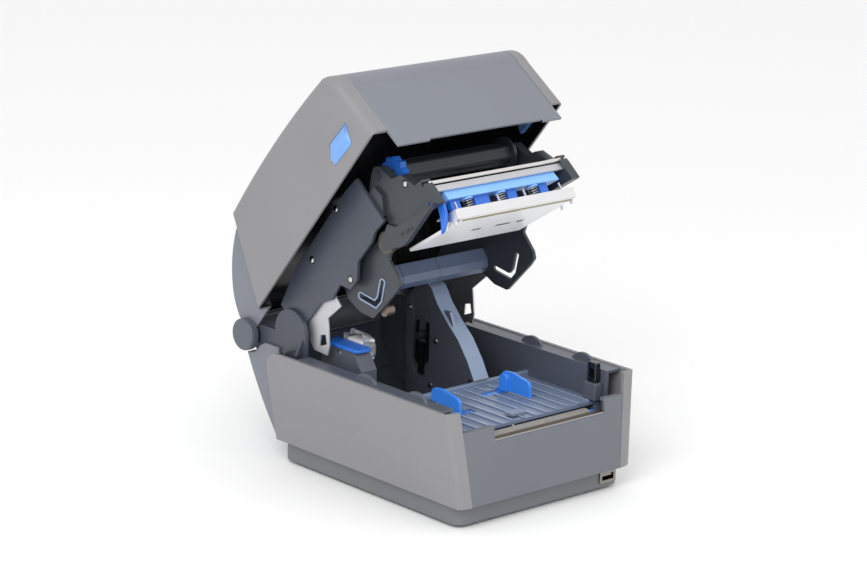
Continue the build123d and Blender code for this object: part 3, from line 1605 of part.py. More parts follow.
with BuildPart() as one_spring:
    with BuildLine() as coil:
        for quarter in range(4 * spring_turns):
            angle = quarter * pi / 2
            after = angle + pi / 2
            joint, way = biarc_joint(coil_point(angle), coil_way(angle), coil_point(after), coil_way(after))
            TangentArc(coil_point(angle), joint, tangent=coil_way(angle))
            TangentArc(joint, coil_point(after), tangent=way)
    with BuildSketch(Plane(origin=coil_point(0), z_dir=coil_way(0))):
        Circle(spring_wire / 2)
    sweep()

# The least gap of a spring with itself, measured between points of its centre line
coil_steps = 48
coil_trace = tuple(coil_point(2 * pi * step / coil_steps) for step in range(coil_steps * spring_turns + 1))
coil_gap = min(
    (coil_trace[later] - coil_trace[step]).length - spring_wire
    for step in range(len(coil_trace))
    for later in range(step + coil_steps // 2, len(coil_trace))
)
print("least gap between the spring's turns", round(coil_gap, 3), "mm")

spring_base = head_face.offset(bracket_top + spring_wire / 2)
with BuildPart() as head_springs:
    for spring_x in spring_xs:
        spring_origin = spring_base.origin + spring_base.x_dir * spring_x + spring_base.y_dir * spring_along
        spring_plane = Plane(origin=spring_origin, x_dir=spring_base.x_dir, z_dir=spring_base.z_dir)
        add(one_spring.part.moved(spring_plane.location))
head_springs.part.label = "head_springs"
export_step(head_springs.part, "parts/head_springs.step")

release_wall = 3
with BuildPart() as release_lever:
    with BuildSketch(cover_side.offset(-block_inner + 0.2)):
        with BuildLine():
            Line((-101, 37), (-95, 38))
            ThreePointArc((-95, 38), (-90, 26), (-80, 15))
            ThreePointArc((-80, 15), (-95, 21), (-101, 37))
        make_face()
    extrude(amount=release_wall)
    with BuildSketch(cover_side.offset(-block_outer + 1)):
        with Locations((lever_pivot_y, lever_pivot_z)):
            Circle(release_pin)
    extrude(amount=block_outer - 1 - block_inner + 1)
release_lever.part.label = "head_release_lever"
export_step(release_lever.part, "parts/head_release_lever.step")

# Ribbon take-up hub
take_up_radius = 10
take_up_half = 60
take_up_flange = 14
take_up_ribs = 6
with BuildPart() as take_up_hub:
    with BuildSketch(cover_side.offset(-take_up_half)):
        with Locations((take_up_y, take_up_z)):
            Circle(take_up_radius)
            with PolarLocations(take_up_radius, take_up_ribs):
                Circle(1.8, mode=Mode.SUBTRACT)
    extrude(amount=2 * take_up_half)
    for flange_x in (-take_up_half - 3, take_up_half):
        with BuildSketch(cover_side.offset(flange_x)):
            with Locations((take_up_y, take_up_z)):
                Circle(take_up_flange)
        extrude(amount=3)
    with BuildSketch(cover_side.offset(-block_outer - 1)):
        with Locations((take_up_y, take_up_z)):
            Circle(axle_radius)
    extrude(amount=2 * (block_outer + 1))
take_up_hub.part.label = "take_up_hub"
export_step(take_up_hub.part, "parts/take_up_hub.step")

with BuildPart() as mechanism_screws:
    for side in (-1, 1):
        with BuildSketch(layer(cover_side, side, plate_outer, plate_outer + 1)):
            with Locations((-9.4, 103), (48, 94.6), (21, 52)):
                Circle(screw_radius)
        extrude(amount=1)
        with BuildSketch(layer(cover_side, side, block_outer, block_outer + 1)):
            with Locations((-86.3, 64.7)):
                Circle(screw_radius)
        extrude(amount=1)
mechanism_screws.part.label = "mechanism_screws"
export_step(mechanism_screws.part, "parts/mechanism_screws.step")

# Ribbon carrier: two arm plates with hooked slots, a box bar between them, pins and a brake wheel
slot_half = 2.2
slot_points = ((-0.2, 30), (4.8, 27.6), (13.3, 23.2), (20.6, 23.6), (30, 40))
with BuildPart() as carrier_arms:
    for side in (-1, 1):
        with BuildSketch(layer(cover_side, side, carrier_inner, carrier_inner + carrier_wall)) as arm_face:
            Polygon(
                (carrier_y - 6.5, carrier_z - 3),
                (carrier_y - 6.5, carrier_z + 6),
                (carrier_y + 4, carrier_z + 9),
                (30, 66),
                (42, 59),
                (45.6, 48),
                (41.3, 31.2),
                (32.5, 17.6),
                (-6, 14),
                (-14.6, 14.5),
                (-18, 20),
                (-20.5, 38.5),
                align=None,
            )
            fillet(arm_face.vertices(), 2.5)
            with BuildLine():
                Polyline(*slot_points)
                offset(amount=slot_half)
            make_face(mode=Mode.SUBTRACT)
            with Locations((carrier_y, carrier_z)):
                Circle(carrier_pin, mode=Mode.SUBTRACT)
        extrude(amount=carrier_wall)
carrier_arms.part.label = "carrier_arms"
export_step(carrier_arms.part, "parts/carrier_arms.step")

with BuildPart() as carrier_bar:
    with BuildSketch(cover_side.offset(-carrier_inner)):
        Polygon((28.5, 61.5), (31, 50.5), (36, 46), (43, 46), (44.6, 52), (41, 59), (33, 64), align=None)
    extrude(amount=2 * carrier_inner)
carrier_bar.part.label = "carrier_bar"
export_step(carrier_bar.part, "parts/carrier_bar.step")

wheel_radius = 9.5
wheel_inner = carrier_inner + carrier_wall + 0.5
wheel_outer = plate_inner - arm_wall - 0.4
bush_radius = 5
bush_length = 8
with BuildPart() as carrier_pins:
    with BuildSketch(cover_side.offset(-carrier_inner)):
        with Locations((20, 15.5)):
            Circle(bush_radius)
    extrude(amount=bush_length)
    for side in (-1, 1):
        with BuildSketch(layer(cover_side, side, block_inner, wheel_outer)):
            with Locations((carrier_y, carrier_z)):
                Circle(carrier_pin)
        extrude(amount=wheel_outer - block_inner)
carrier_pins.part.label = "carrier_pins"
export_step(carrier_pins.part, "parts/carrier_pins.step")

with BuildPart() as brake_wheel:
    with BuildSketch(cover_side.offset(-wheel_outer)):
        with Locations((carrier_y, carrier_z)):
            Circle(wheel_radius)
            with PolarLocations(wheel_radius, 36):
                Circle(0.55, mode=Mode.SUBTRACT)
            Circle(carrier_pin + running, mode=Mode.SUBTRACT)
    extrude(amount=wheel_outer - wheel_inner)
brake_wheel.part.label = "brake_wheel"
export_step(brake_wheel.part, "parts/brake_wheel.step")
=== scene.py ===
# %% [markdown]
# A desktop label printer with its cover open.
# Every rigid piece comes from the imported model, already in its place, at its real size, in metres.
# This lesson gives each piece its finish, rounds the moulded edges that the light should catch, and
# adds the small details that show from a step away. The first cell loads the model as a fixed frame.

# %% Load the frame
import json
from math import cos, pi, radians, sin, tau

import bmesh
import bpy
from mathutils import Matrix, Vector


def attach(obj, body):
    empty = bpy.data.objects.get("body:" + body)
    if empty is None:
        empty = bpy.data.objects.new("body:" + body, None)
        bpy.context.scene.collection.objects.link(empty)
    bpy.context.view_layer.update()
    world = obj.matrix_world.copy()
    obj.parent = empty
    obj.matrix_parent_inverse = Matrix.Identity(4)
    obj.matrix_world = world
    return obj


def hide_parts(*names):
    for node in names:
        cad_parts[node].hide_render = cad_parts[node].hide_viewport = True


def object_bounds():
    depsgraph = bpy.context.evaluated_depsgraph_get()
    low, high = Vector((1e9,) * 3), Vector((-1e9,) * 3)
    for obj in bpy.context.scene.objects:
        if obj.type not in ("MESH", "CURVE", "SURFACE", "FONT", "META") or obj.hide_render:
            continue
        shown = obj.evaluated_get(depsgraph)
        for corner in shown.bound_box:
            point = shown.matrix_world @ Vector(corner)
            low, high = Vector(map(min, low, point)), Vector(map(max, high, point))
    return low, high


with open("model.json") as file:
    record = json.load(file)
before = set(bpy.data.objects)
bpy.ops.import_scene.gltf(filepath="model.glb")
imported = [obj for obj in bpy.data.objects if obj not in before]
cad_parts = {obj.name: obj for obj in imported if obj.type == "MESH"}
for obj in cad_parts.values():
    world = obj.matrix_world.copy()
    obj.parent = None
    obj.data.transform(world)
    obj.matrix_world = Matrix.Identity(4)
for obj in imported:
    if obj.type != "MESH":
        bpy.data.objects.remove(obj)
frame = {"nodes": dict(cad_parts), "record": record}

cad_low, cad_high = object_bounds()
print("pieces loaded:", len(frame["nodes"]))
print("size in mm:", [round(1000 * (high - low), 1) for low, high in zip(cad_low, cad_high)])

# %% [markdown]
# A surface looks real when its colour, its gloss and its fine relief come from the real material.
# Screens show sRGB values, but the renderer adds up light in linear values, so one function turns the
# hex colours into linear ones. Another small function adds a node, sets it and links it, which keeps
# each material short enough to read.

# %% Helpers for materials
MM = 0.001


def linear(colour):
    """The linear RGBA of an sRGB hex colour such as #8a9099."""
    shares = [int(colour[place:place + 2], 16) / 255 for place in (1, 3, 5)]
    return [s / 12.92 if s <= 0.04045 else ((s + 0.055) / 1.055) ** 2.4 for s in shares] + [1.0]


def add(tree, kind, sockets=None, **settings):
    """Adds a node. A socket's value may be a number, a colour or another node's output."""
    made = tree.nodes.new("ShaderNode" + kind)
    for name, value in settings.items():
        setattr(made, name, value)
    for name, value in (sockets or {}).items():
        if isinstance(value, bpy.types.NodeSocket):
            tree.links.new(value, made.inputs[name])
        else:
            made.inputs[name].default_value = value
    return made


def blank(name):
    """A material with only its shader, and that shader."""
    material = bpy.data.materials.new(name)
    material.use_nodes = True
    tree = material.node_tree
    shader = tree.nodes["Principled BSDF"]
    return material, tree, shader


# %% [markdown]
# Moulded plastic has a spark-eroded grain: tiny hills, a fraction of a millimetre wide, that break up
# the reflections. It also has a very slight cloudiness where the melt flowed. A noise of the grain's
# size drives a bump, and a much larger noise mixes two colours that differ by a few percent. The real
# grain is about 0.3 mm, too fine for this picture, so it is drawn about three times as coarse.

# %% Moulded plastics
def plastic(name, light, dark, roughness, grain=0.9, relief=0.12, cloud=70, gloss_spread=0.06):
    """A moulded plastic. Grain and cloud are sizes in millimetres, relief is the bump's strength."""
    material, tree, shader = blank(name)
    place = add(tree, "TexCoord").outputs["Object"]
    flow = add(tree, "TexNoise", {"Vector": place, "Scale": 1 / (cloud * MM), "Detail": 3.0})
    hills = add(tree, "TexNoise", {"Vector": place, "Scale": 1 / (grain * MM), "Detail": 2.0})
    tint = add(tree, "Mix", {0: flow.outputs["Fac"]}, data_type="RGBA")
    tint.inputs["A"].default_value = linear(dark)
    tint.inputs["B"].default_value = linear(light)
    tree.links.new(tint.outputs["Result"], shader.inputs["Base Color"])
    gloss = add(tree, "MapRange", {"Value": hills.outputs["Fac"], "From Min": 0.3, "From Max": 0.7,
                                   "To Min": roughness - gloss_spread,
                                   "To Max": roughness + gloss_spread})
    tree.links.new(gloss.outputs["Result"], shader.inputs["Roughness"])
    bump = add(tree, "Bump", {"Height": hills.outputs["Fac"], "Strength": relief,
                              "Distance": 0.1 * MM})
    tree.links.new(bump.outputs["Normal"], shader.inputs["Normal"])
    shader.inputs["IOR"].default_value = 1.53
    return material


light_abs = plastic("light_grey_moulded_abs", "#838285", "#7d7c80", 0.48)
dark_abs = plastic("blue_grey_moulded_abs", "#767a83", "#70747d", 0.44)
front_abs = plastic("blue_grey_front_abs", "#676a72", "#61646c", 0.44)
base_abs = plastic("dark_grey_moulded_abs", "#6c6e72", "#66686d", 0.5)
liner_abs = plastic("slate_liner_abs", "#565b66", "#4e535e", 0.4, cloud=40)
inner_abs = plastic("slate_moulded_abs", "#414753", "#3a3f4a", 0.4, cloud=40)
bar_abs = plastic("slate_bar_abs", "#5f6c86", "#56637c", 0.34, cloud=40)
block_abs = plastic("graphite_moulded_abs", "#33383f", "#2c3037", 0.36, cloud=40)
holder_abs = plastic("grey_holder_abs", "#4b4f59", "#444852", 0.36, cloud=60)
# A paler plastic that paints light: the reflection on the roll holder's band, the highlight on the slot's
# lip.
pale_sheen_abs = plastic("pale_painted_sheen_abs", "#8b9bb4", "#8191ab", 0.34, relief=0.05, cloud=60)
wheel_abs = plastic("brown_wheel_abs", "#4a433d", "#3a342f", 0.3, relief=0.05, cloud=10)
deep_abs = plastic("charcoal_moulded_abs", "#2d3038", "#26292f", 0.38, cloud=40)
bed_abs = plastic("glossy_slate_abs", "#76849d", "#6d7b94", 0.3, relief=0.07, cloud=30)
# Paler tops of the bed's ribs: a painted highlight.
rib_highlight_abs = plastic("rib_painted_highlight_abs", "#b4c0d2", "#a6b3c6", 0.24, relief=0.03, cloud=30)
blue_pom = plastic("blue_acetal", "#2f72d6", "#2a67c9", 0.3, relief=0.06, cloud=25)
pale_pom = plastic("pale_blue_acetal", "#84b8fa", "#7cb0f4", 0.32, relief=0.06, cloud=25)
latch_pom = plastic("latch_blue_acetal", "#6f9fdc", "#6896d6", 0.36, relief=0.06, cloud=25)
guide_pom = plastic("guide_blue_acetal", "#3b8af0", "#3580e4", 0.3, relief=0.06, cloud=25)
# Black plastic. It also paints the shade inside the cover and in the screws' crosses and rings.
black_pc_and_shade = plastic("black_polycarbonate_and_painted_shade", "#15161a", "#0f1013", 0.16, relief=0.03, cloud=25)
white_abs = plastic("white_moulded_abs", "#f1f2f3", "#e6e8ea", 0.35, relief=0.05, cloud=25)
alumina = plastic("glazed_alumina", "#f4f4f6", "#ebebee", 0.34, relief=0.03, cloud=30)
glaze = plastic("print_line_glaze", "#8d8468", "#7d745a", 0.2, relief=0.02, cloud=20)
gear_pom = plastic("natural_acetal", "#d9d6cb", "#cbc8bc", 0.4, relief=0.05, cloud=20)
print("plastics:", len(bpy.data.materials))

# %% [markdown]
# Rubber is darker and duller than plastic. The platen is ground to size on a lathe, which leaves very
# fine rings round it, so its relief is a wave across the roller's length, with a little dust in it.

# %% Rubbers
def rubber(name, light, dark, roughness, ring=1.2, relief=0.2):
    """A ground rubber with rings across X. Ring is their spacing in millimetres."""
    material, tree, shader = blank(name)
    place = add(tree, "TexCoord").outputs["Object"]
    dust = add(tree, "TexNoise", {"Vector": place, "Scale": 1 / (3 * MM), "Detail": 6.0})
    rings = add(tree, "TexWave", {"Vector": place, "Scale": 1 / (ring * MM * tau), "Distortion": 2.0,
                                  "Detail": 2.0}, bands_direction="X")
    tint = add(tree, "Mix", {0: dust.outputs["Fac"]}, data_type="RGBA")
    tint.inputs["A"].default_value = linear(dark)
    tint.inputs["B"].default_value = linear(light)
    tree.links.new(tint.outputs["Result"], shader.inputs["Base Color"])
    bump = add(tree, "Bump", {"Height": rings.outputs["Fac"], "Strength": relief,
                              "Distance": 0.1 * MM})
    tree.links.new(bump.outputs["Normal"], shader.inputs["Normal"])
    shader.inputs["Roughness"].default_value = roughness
    shader.inputs["IOR"].default_value = 1.52
    return material


platen_rubber = rubber("ground_nitrile_rubber", "#96928e", "#716e6b", 0.5)
foot_rubber = rubber("moulded_black_rubber", "#26272a", "#1d1e20", 0.8, relief=0.1)

# %% [markdown]
# Metals take their colour from the reflection, so their base colour is bright and their look lies in
# the roughness. Rolled sheet has faint streaks along the rolling direction, drawn here as a noise that
# is stretched along X. Ground and plated rods are nearly mirrors. A metal keeps the default IOR.

# %% Metals
def metal(name, light, dark, roughness, streak=0.5, stretch=40, spread=0.08, relief=0.05):
    """A metal with streaks along X. Streak is their width in millimetres, stretch their length."""
    material, tree, shader = blank(name)
    place = add(tree, "TexCoord").outputs["Object"]
    grain = add(tree, "Mapping", {"Vector": place, "Scale": (1 / stretch, 1, 1)})
    streaks = add(tree, "TexNoise", {"Vector": grain.outputs["Vector"], "Scale": 1 / (streak * MM),
                                     "Detail": 4.0})
    tint = add(tree, "Mix", {0: streaks.outputs["Fac"]}, data_type="RGBA")
    tint.inputs["A"].default_value = linear(dark)
    tint.inputs["B"].default_value = linear(light)
    tree.links.new(tint.outputs["Result"], shader.inputs["Base Color"])
    gloss = add(tree, "MapRange", {"Value": streaks.outputs["Fac"], "From Min": 0.3, "From Max": 0.7,
                                   "To Min": roughness - spread, "To Max": roughness + spread})
    tree.links.new(gloss.outputs["Result"], shader.inputs["Roughness"])
    bump = add(tree, "Bump", {"Height": streaks.outputs["Fac"], "Strength": relief,
                              "Distance": 0.05 * MM})
    tree.links.new(bump.outputs["Normal"], shader.inputs["Normal"])
    shader.inputs["Metallic"].default_value = 1.0
    return material


zinc_sheet = metal("zinc_plated_sheet_steel", "#dcdcdf", "#c9c9cd", 0.3)
ground_rod = metal("ground_steel_rod", "#e6e4e2", "#d8d6d4", 0.16, spread=0.04)
wire = metal("music_wire", "#b9b7b5", "#a3a19f", 0.24, streak=0.2, stretch=1)
motor_metal = metal("stamped_motor_steel", "#8d8e92", "#7c7d82", 0.4)
port_metal = metal("nickel_plated_port_steel", "#97928c", "#85817c", 0.25, streak=0.3)
screw_metal = metal("zinc_plated_screw", "#d9d6d0", "#c2bfb8", 0.22, streak=0.2, stretch=1)
white_metal = metal("bright_anodised_aluminium", "#ebebec", "#e0e0e2", 0.42, relief=0.03)
satin_metal = metal("satin_zinc_sheet", "#d4d4d8", "#c8c8cc", 0.52, relief=0.03)
brushed_metal = metal("brushed_tear_steel", "#a9a9ac", "#97979b", 0.34, relief=0.06)
# A dark brown painted shade for the tear bar's top faces.
shaded_steel = metal("tear_steel_painted_shade", "#6a625a", "#59524b", 0.45, relief=0.06)
bush_metal = metal("worn_bush_steel", "#8a7f76", "#746a62", 0.4, streak=0.3, stretch=1)
bronze = metal("sintered_bronze", "#b97a45", "#a0673a", 0.35, streak=0.3, stretch=1)

# %% [markdown]
# The film that guards the roll's core is clear and thin. Most of the light passes through it, and the
# rest shows as soft highlights along its folds.

# %% Clear film
film, tree, shader = blank("clear_polyester_film")
shader.inputs["Base Color"].default_value = linear("#e9edf1")
shader.inputs["Roughness"].default_value = 0.12
shader.inputs["IOR"].default_value = 1.58
shader.inputs["Transmission Weight"].default_value = 0.75

# %% [markdown]
# The circuit board is glass cloth in resin under a green mask. The mask shows the copper under it as
# slightly lighter lines, so a brick pattern with a fine pitch stands for the tracks.

# %% Circuit board
board_mask, tree, shader = blank("green_solder_mask")
place = add(tree, "TexCoord").outputs["Object"]
tracks = add(tree, "TexBrick", {"Vector": place, "Color1": linear("#0f4a2b"), "Color2": linear("#0c4226"),
                                "Mortar": linear("#1a6b40"), "Scale": 1 / (12 * MM),
                                "Mortar Size": 0.03})
tree.links.new(tracks.outputs["Color"], shader.inputs["Base Color"])
shader.inputs["Roughness"].default_value = 0.3
shader.inputs["IOR"].default_value = 1.5

# %% [markdown]
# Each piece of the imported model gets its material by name. Materials are listed with their pieces, so
# a reader can see at a glance what is made of what.

# %% Finishes of the pieces
FINISHES = {
    light_abs: ["side_skins", "cover_sides"],
    dark_abs: ["centre_cover", "rear_shell", "rear_cover"],
    front_abs: ["front_panel"],
    latch_pom: ["left_latch_button", "right_latch_button"],
    guide_pom: ["left_media_guide", "right_media_guide", "platen_bearings"],
    pale_pom: ["pressure_bar"],
    brushed_metal: ["tear_bar"],
    bush_metal: ["carrier_pins"],
    bar_abs: ["carrier_bar"],
    base_abs: ["base_pan"],
    liner_abs: ["inner_liners", "left_roll_holder", "post_socket", "hinge_pins"],
    inner_abs: ["mechanism_plates", "media_bay", "hinge_brackets", "mechanism_pivot_pins"],
    block_abs: ["mechanism_blocks", "carrier_arms"],
    holder_abs: ["right_roll_holder"],
    deep_abs: ["right_roll_hub", "platen_cradle", "take_up_hub"],
    wheel_abs: ["brake_wheel"],
    bed_abs: ["media_bed", "media_sensor"],
    blue_pom: ["guide_pinion", "holder_lock_lever", "head_release_lever"],
    black_pc_and_shade: ["latch_post", "hub_latch", "power_rocker", "rear_ports"],
    white_abs: ["left_roll_hub"],
    gear_pom: ["platen_gear", "idler_gear", "motor_pinion"],
    platen_rubber: ["platen_roller"],
    foot_rubber: ["rubber_feet"],
    zinc_sheet: ["drive_plate", "corner_bracket"],
    satin_metal: ["mechanism_arms", "head_flange"],
    ground_rod: ["head_rod", "platen_shaft"],
    wire: ["head_springs"],
    alumina: ["print_head"],
    white_metal: ["head_bracket"],
    motor_metal: ["stepper_motor"],
    port_metal: ["usb_host_port"],
    screw_metal: ["mechanism_screws", "holder_screws"],
    board_mask: ["main_board"],
}
material_of = {node: material for material, nodes in FINISHES.items() for node in nodes}
body_of = {node: body for body, nodes in frame["record"]["behaviour"]["bodies"].items()
           for node in nodes}
print("pieces without a finish:", sorted(set(frame["nodes"]) - set(material_of)))

for node, piece in frame["nodes"].items():
    piece.data.materials.clear()
    piece.data.materials.append(material_of[node])

# %% [markdown]
# A mould never leaves a knife edge: every corner has a radius of a few tenths of a millimetre, and that
# radius catches a thin line of light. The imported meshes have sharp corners, so a copy of each visible
# piece is welded into real faces and gets a Bevel modifier. The copy takes the piece's place, rides on
# the same body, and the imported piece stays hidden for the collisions.

# %% Round the edges of the moulded pieces
WELD = 0.002 * MM
FLAT = radians(0.6)  # triangles that turn by less than this become one face
SHARP = radians(32)  # a crease over this isn't smoothed
ROUNDED = radians(38)  # an edge over this gets a radius


def welded(node):
    """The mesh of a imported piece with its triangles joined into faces."""
    shape = bmesh.new()
    shape.from_mesh(frame["nodes"][node].data)
    bmesh.ops.remove_doubles(shape, verts=shape.verts, dist=WELD)
    bmesh.ops.dissolve_limit(shape, angle_limit=FLAT, verts=shape.verts, edges=shape.edges)
    return shape


def piece_from(shape, name, body, materials, stands_for=()):
    """Turns a bmesh into a piece that rides on a body. Its faces number their materials from 0."""
    mesh = bpy.data.meshes.new(name)
    for material in materials:
        mesh.materials.append(material)
    bmesh.ops.recalc_face_normals(shape, faces=shape.faces)
    shape.to_mesh(mesh)
    shape.free()
    piece = bpy.data.objects.new(name, mesh)
    bpy.context.scene.collection.objects.link(piece)
    for face in mesh.polygons:
        face.use_smooth = True
    mesh.set_sharp_from_angle(angle=SHARP)
    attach(piece, body)
    if stands_for:
        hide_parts(*stands_for)
    return piece


def soften(piece, radius, segments=2):
    """Rounds a piece's edges with a Bevel modifier."""
    bevel = piece.modifiers.new("edges", "BEVEL")
    bevel.width = radius * MM
    bevel.segments = segments
    bevel.limit_method = "ANGLE"
    bevel.angle_limit = ROUNDED
    bevel.harden_normals = True


def rounded(node, radius):
    """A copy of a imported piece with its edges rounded, in that piece's place."""
    piece = piece_from(welded(node), node + "_moulded", body_of[node], [material_of[node]],
                       (node,))
    soften(piece, radius)
    return piece


EDGE_RADII = {
    "side_skins": 0.6, "cover_sides": 0.6, "front_panel": 0.5, "centre_cover": 0.5, "rear_shell": 0.5,
    "rear_cover": 0.5, "base_pan": 0.6, "inner_liners": 0.4, "hinge_brackets": 0.4,
    "mechanism_plates": 0.4, "mechanism_blocks": 0.5, "carrier_bar": 0.4, "carrier_arms": 0.5,
    "left_roll_holder": 0.4, "right_roll_holder": 0.5, "media_bed": 0.25, "post_socket": 0.3,
    "left_media_guide": 0.4, "right_media_guide": 0.4, "holder_lock_lever": 0.4,
    "left_latch_button": 0.3, "right_latch_button": 0.3,
    "head_release_lever": 0.3, "latch_post": 0.6, "hinge_pins": 0.6, "head_bracket": 0.25,
    "print_head": 0.2, "tear_bar": 0.15, "mechanism_arms": 0.25,
}
moulded = {node: rounded(node, radius) for node, radius in EDGE_RADII.items()}
print("rounded pieces:", len(moulded))

# %% [markdown]
# A piece can need two materials. The cover is dark inside, and its inner faces get black that adds
# painted shade to the dark plastic. The tops of the bed's ribs are paler, a painted highlight, the roll
# holder's bent band is paler than its plate, a painted reflection, and the tear bar's top faces get a
# dark brown painted shade, so it is only bright along its edge. Each rule below looks at a face's
# direction and place, and gives the faces that fit it the second material. For the cover these are the
# faces that look towards its heart, a point between its walls.

# %% A second material on some faces
OPEN_ANGLE = radians(50.8)
HINGE = Vector((0, 157.8, 102.6)) * MM
COVER = (Matrix.Translation(HINGE) @ Matrix.Rotation(-OPEN_ANGLE, 4, "X")
         @ Matrix.Translation(-HINGE))
heart = COVER @ (Vector((0, 0, 120)) * MM)
RIB_LOW, RIB_HIGH = 72.3 * MM, 73 * MM
BAND_INNER = 25.5 * MM


def second_finish(node, material, chosen):
    """Gives the faces for which chosen(normal, centre) is true another material."""
    mesh = moulded[node].data
    mesh.materials.append(material)
    for face in mesh.polygons:
        if chosen(face.normal, face.center):
            face.material_index = 1


# The cover's inner faces: black, their dark plastic with painted shade on top.
for node in ("centre_cover", "cover_sides", "rear_shell"):
    second_finish(node, black_pc_and_shade, lambda normal, centre: normal.dot(heart - centre) > 0)
# The bed's rib tops get the paler colour as a painted highlight.
second_finish("media_bed", rib_highlight_abs,
              lambda normal, centre: normal.z > 0.7 and RIB_LOW < centre.z < RIB_HIGH)
# The tear bar's top faces get the dark brown painted shade.
second_finish("tear_bar", shaded_steel, lambda normal, centre: normal.z > 0.5)
# The roll holder's bent band gets the paler colour as a painted reflection.
second_finish("right_roll_holder", pale_sheen_abs,
              lambda normal, centre: centre.x > BAND_INNER and abs(normal.x) < 0.5 and normal.y < 0)
print("pieces with two materials:", [piece.name for piece in moulded.values()
                                     if len(piece.data.materials) > 1])

# %% [markdown]
# Long plain parts are prisms: an outline on the side plane, extruded across the printer. The cover and
# the print head have side planes of their own, turned with them, so each outline is drawn upright and a
# matrix puts it in place.

# %% A helper for prisms
HEAD_TILT = radians(19)
HEAD_FRONT = COVER @ (Vector((0, -97, 12.4)) * MM)
HEAD = Matrix.Translation(HEAD_FRONT) @ Matrix.Rotation(HEAD_TILT - OPEN_ANGLE, 4, "X")
BASE = Matrix.Identity(4)


def prism(shape, outline, plane, low, high, slot=0):
    """Adds a prism between two places along X. The outline is in millimetres on the plane."""
    corners = [shape.verts.new(plane @ (Vector((low, across, up)) * MM)) for across, up in outline]
    face = shape.faces.new(corners)
    face.material_index = slot
    made = bmesh.ops.extrude_face_region(shape, geom=[face])
    moved = [part for part in made["geom"] if isinstance(part, bmesh.types.BMVert)]
    bmesh.ops.translate(shape, verts=moved, vec=((high - low) * MM, 0, 0))
    for vert in moved + corners:
        for face in vert.link_faces:
            face.material_index = slot


def box(low, high):
    """The four corners of a rectangle."""
    return [(low[0], low[1]), (high[0], low[1]), (high[0], high[1]), (low[0], high[1])]


def ring(centre, radius, count=48, waves=0, depth=0.0):
    """A circle of points, with waves in its radius if it is notched."""
    outline = []
    for step in range(count):
        angle = tau * step / count
        reach = radius - depth * (0.5 - 0.5 * cos(waves * angle))
        outline.append((centre[0] + reach * cos(angle), centre[1] + reach * sin(angle)))
    return outline


# %% [markdown]
# The pressure bar is a plain pale blue bar with a peg at each end. It stands on three round seats over
# the springs, and short dark legs beside them keep it square. Four thin white prongs rise from the
# bracket below, and a brown line of glaze runs along the print head's edge.

# %% Pressure bar, legs and prongs
BAR_OUTLINE = [(3.4, 20.7), (18, 20.7), (19, 27.7), (7.4, 29.7)]
PEG_OUTLINE = [(14.5, 22.7), (18, 22.7), (18.6, 26.7), (14.5, 26.7)]
LEG_OUTLINE = box((8, 12.5), (13, 20.8))
PRONG_OUTLINE = [(0.5, 10.1), (2.2, 10.1), (2.6, 17.5), (1.4, 17.5)]
SPRINGS_X = (-38, -2, 34)
SPRING_Y, SEAT_MIDDLE, SEAT_RADIUS, SEAT_DEPTH = 9, 19.85, 5.2 * MM, 1.7 * MM
LEGS_X = ((-57, -47), (-31, -15), (5, 15), (41, 50))
PRONGS_X, PRONG_HALF = (-58, -12, 17, 57), 0.6
PRINT_LINE = box((-3.0, -0.03), (-0.6, 1.4))
MARK_OUTLINE = box((34, -0.15), (37.5, 0.1))
MARKS_X = ((-20, 9), (6, 16), (30, 7))  # where each starts, and its length
SKIRT_OUTLINE = [(-104, 30), (-56, 29.5), (-47, 31), (-26, 45), (-36, 52), (-47, 55), (-53, 47)]
SKIRT_MARKS = (box((-66, 33), (-60, 36)), box((-58, 36), (-54, 39)), box((-70, 31.5), (-67.5, 34)))

shape = bmesh.new()
prism(shape, BAR_OUTLINE, HEAD, -61, 61)
for low, high in ((-70, -60.8), (60.8, 70)):
    prism(shape, PEG_OUTLINE, HEAD, low, high)
for low, high in LEGS_X:
    prism(shape, LEG_OUTLINE, HEAD, low, high, 1)
for spring_x in SPRINGS_X:
    seat = bmesh.ops.create_cone(shape, cap_ends=True, segments=32, radius1=SEAT_RADIUS,
                                 radius2=SEAT_RADIUS, depth=SEAT_DEPTH)["verts"]
    place = Matrix.Translation(Vector((spring_x, SPRING_Y, SEAT_MIDDLE)) * MM)
    bmesh.ops.transform(shape, verts=seat, matrix=HEAD @ place)
bar = piece_from(shape, "pressure_bar_moulded", body_of["pressure_bar"], [pale_pom, blue_pom],
                 ("pressure_bar",))
soften(bar, 0.4)

shape = bmesh.new()
prism(shape, SKIRT_OUTLINE, COVER, -82, -77)
for mark in SKIRT_MARKS:
    prism(shape, mark, COVER, -82.15, -81.9, 1)
soften(piece_from(shape, "block_skirt", body_of["mechanism_blocks"], [block_abs, black_pc_and_shade]), 0.4)

shape = bmesh.new()
for prong_x in PRONGS_X:
    prism(shape, PRONG_OUTLINE, HEAD, prong_x - PRONG_HALF, prong_x + PRONG_HALF)
piece_from(shape, "bracket_prongs", body_of["head_bracket"], [white_metal])

shape = bmesh.new()
prism(shape, PRINT_LINE, HEAD, -60.5, 60.5)
piece_from(shape, "print_line", body_of["print_head"], [glaze])
for x, length in MARKS_X:
    shape = bmesh.new()
    prism(shape, MARK_OUTLINE, HEAD, x, x + length)
    piece_from(shape, "head_mark", body_of["print_head"], [deep_abs])
print("bar, prongs and print line made")

# %% [markdown]
# Each screw has a domed head with a cross in it, and sits where the plate is sunk round it. The cross
# and a thin ring round the head are black, a painted shade in the recess and the sunk hole. The dome
# is a short profile of radii and heights, spun about the screw's axis.

# %% Screws
SCREW_PROFILE = ((0.02, 1.0), (1.2, 0.96), (2.0, 0.74), (2.5, 0.35), (2.6, 0.0))
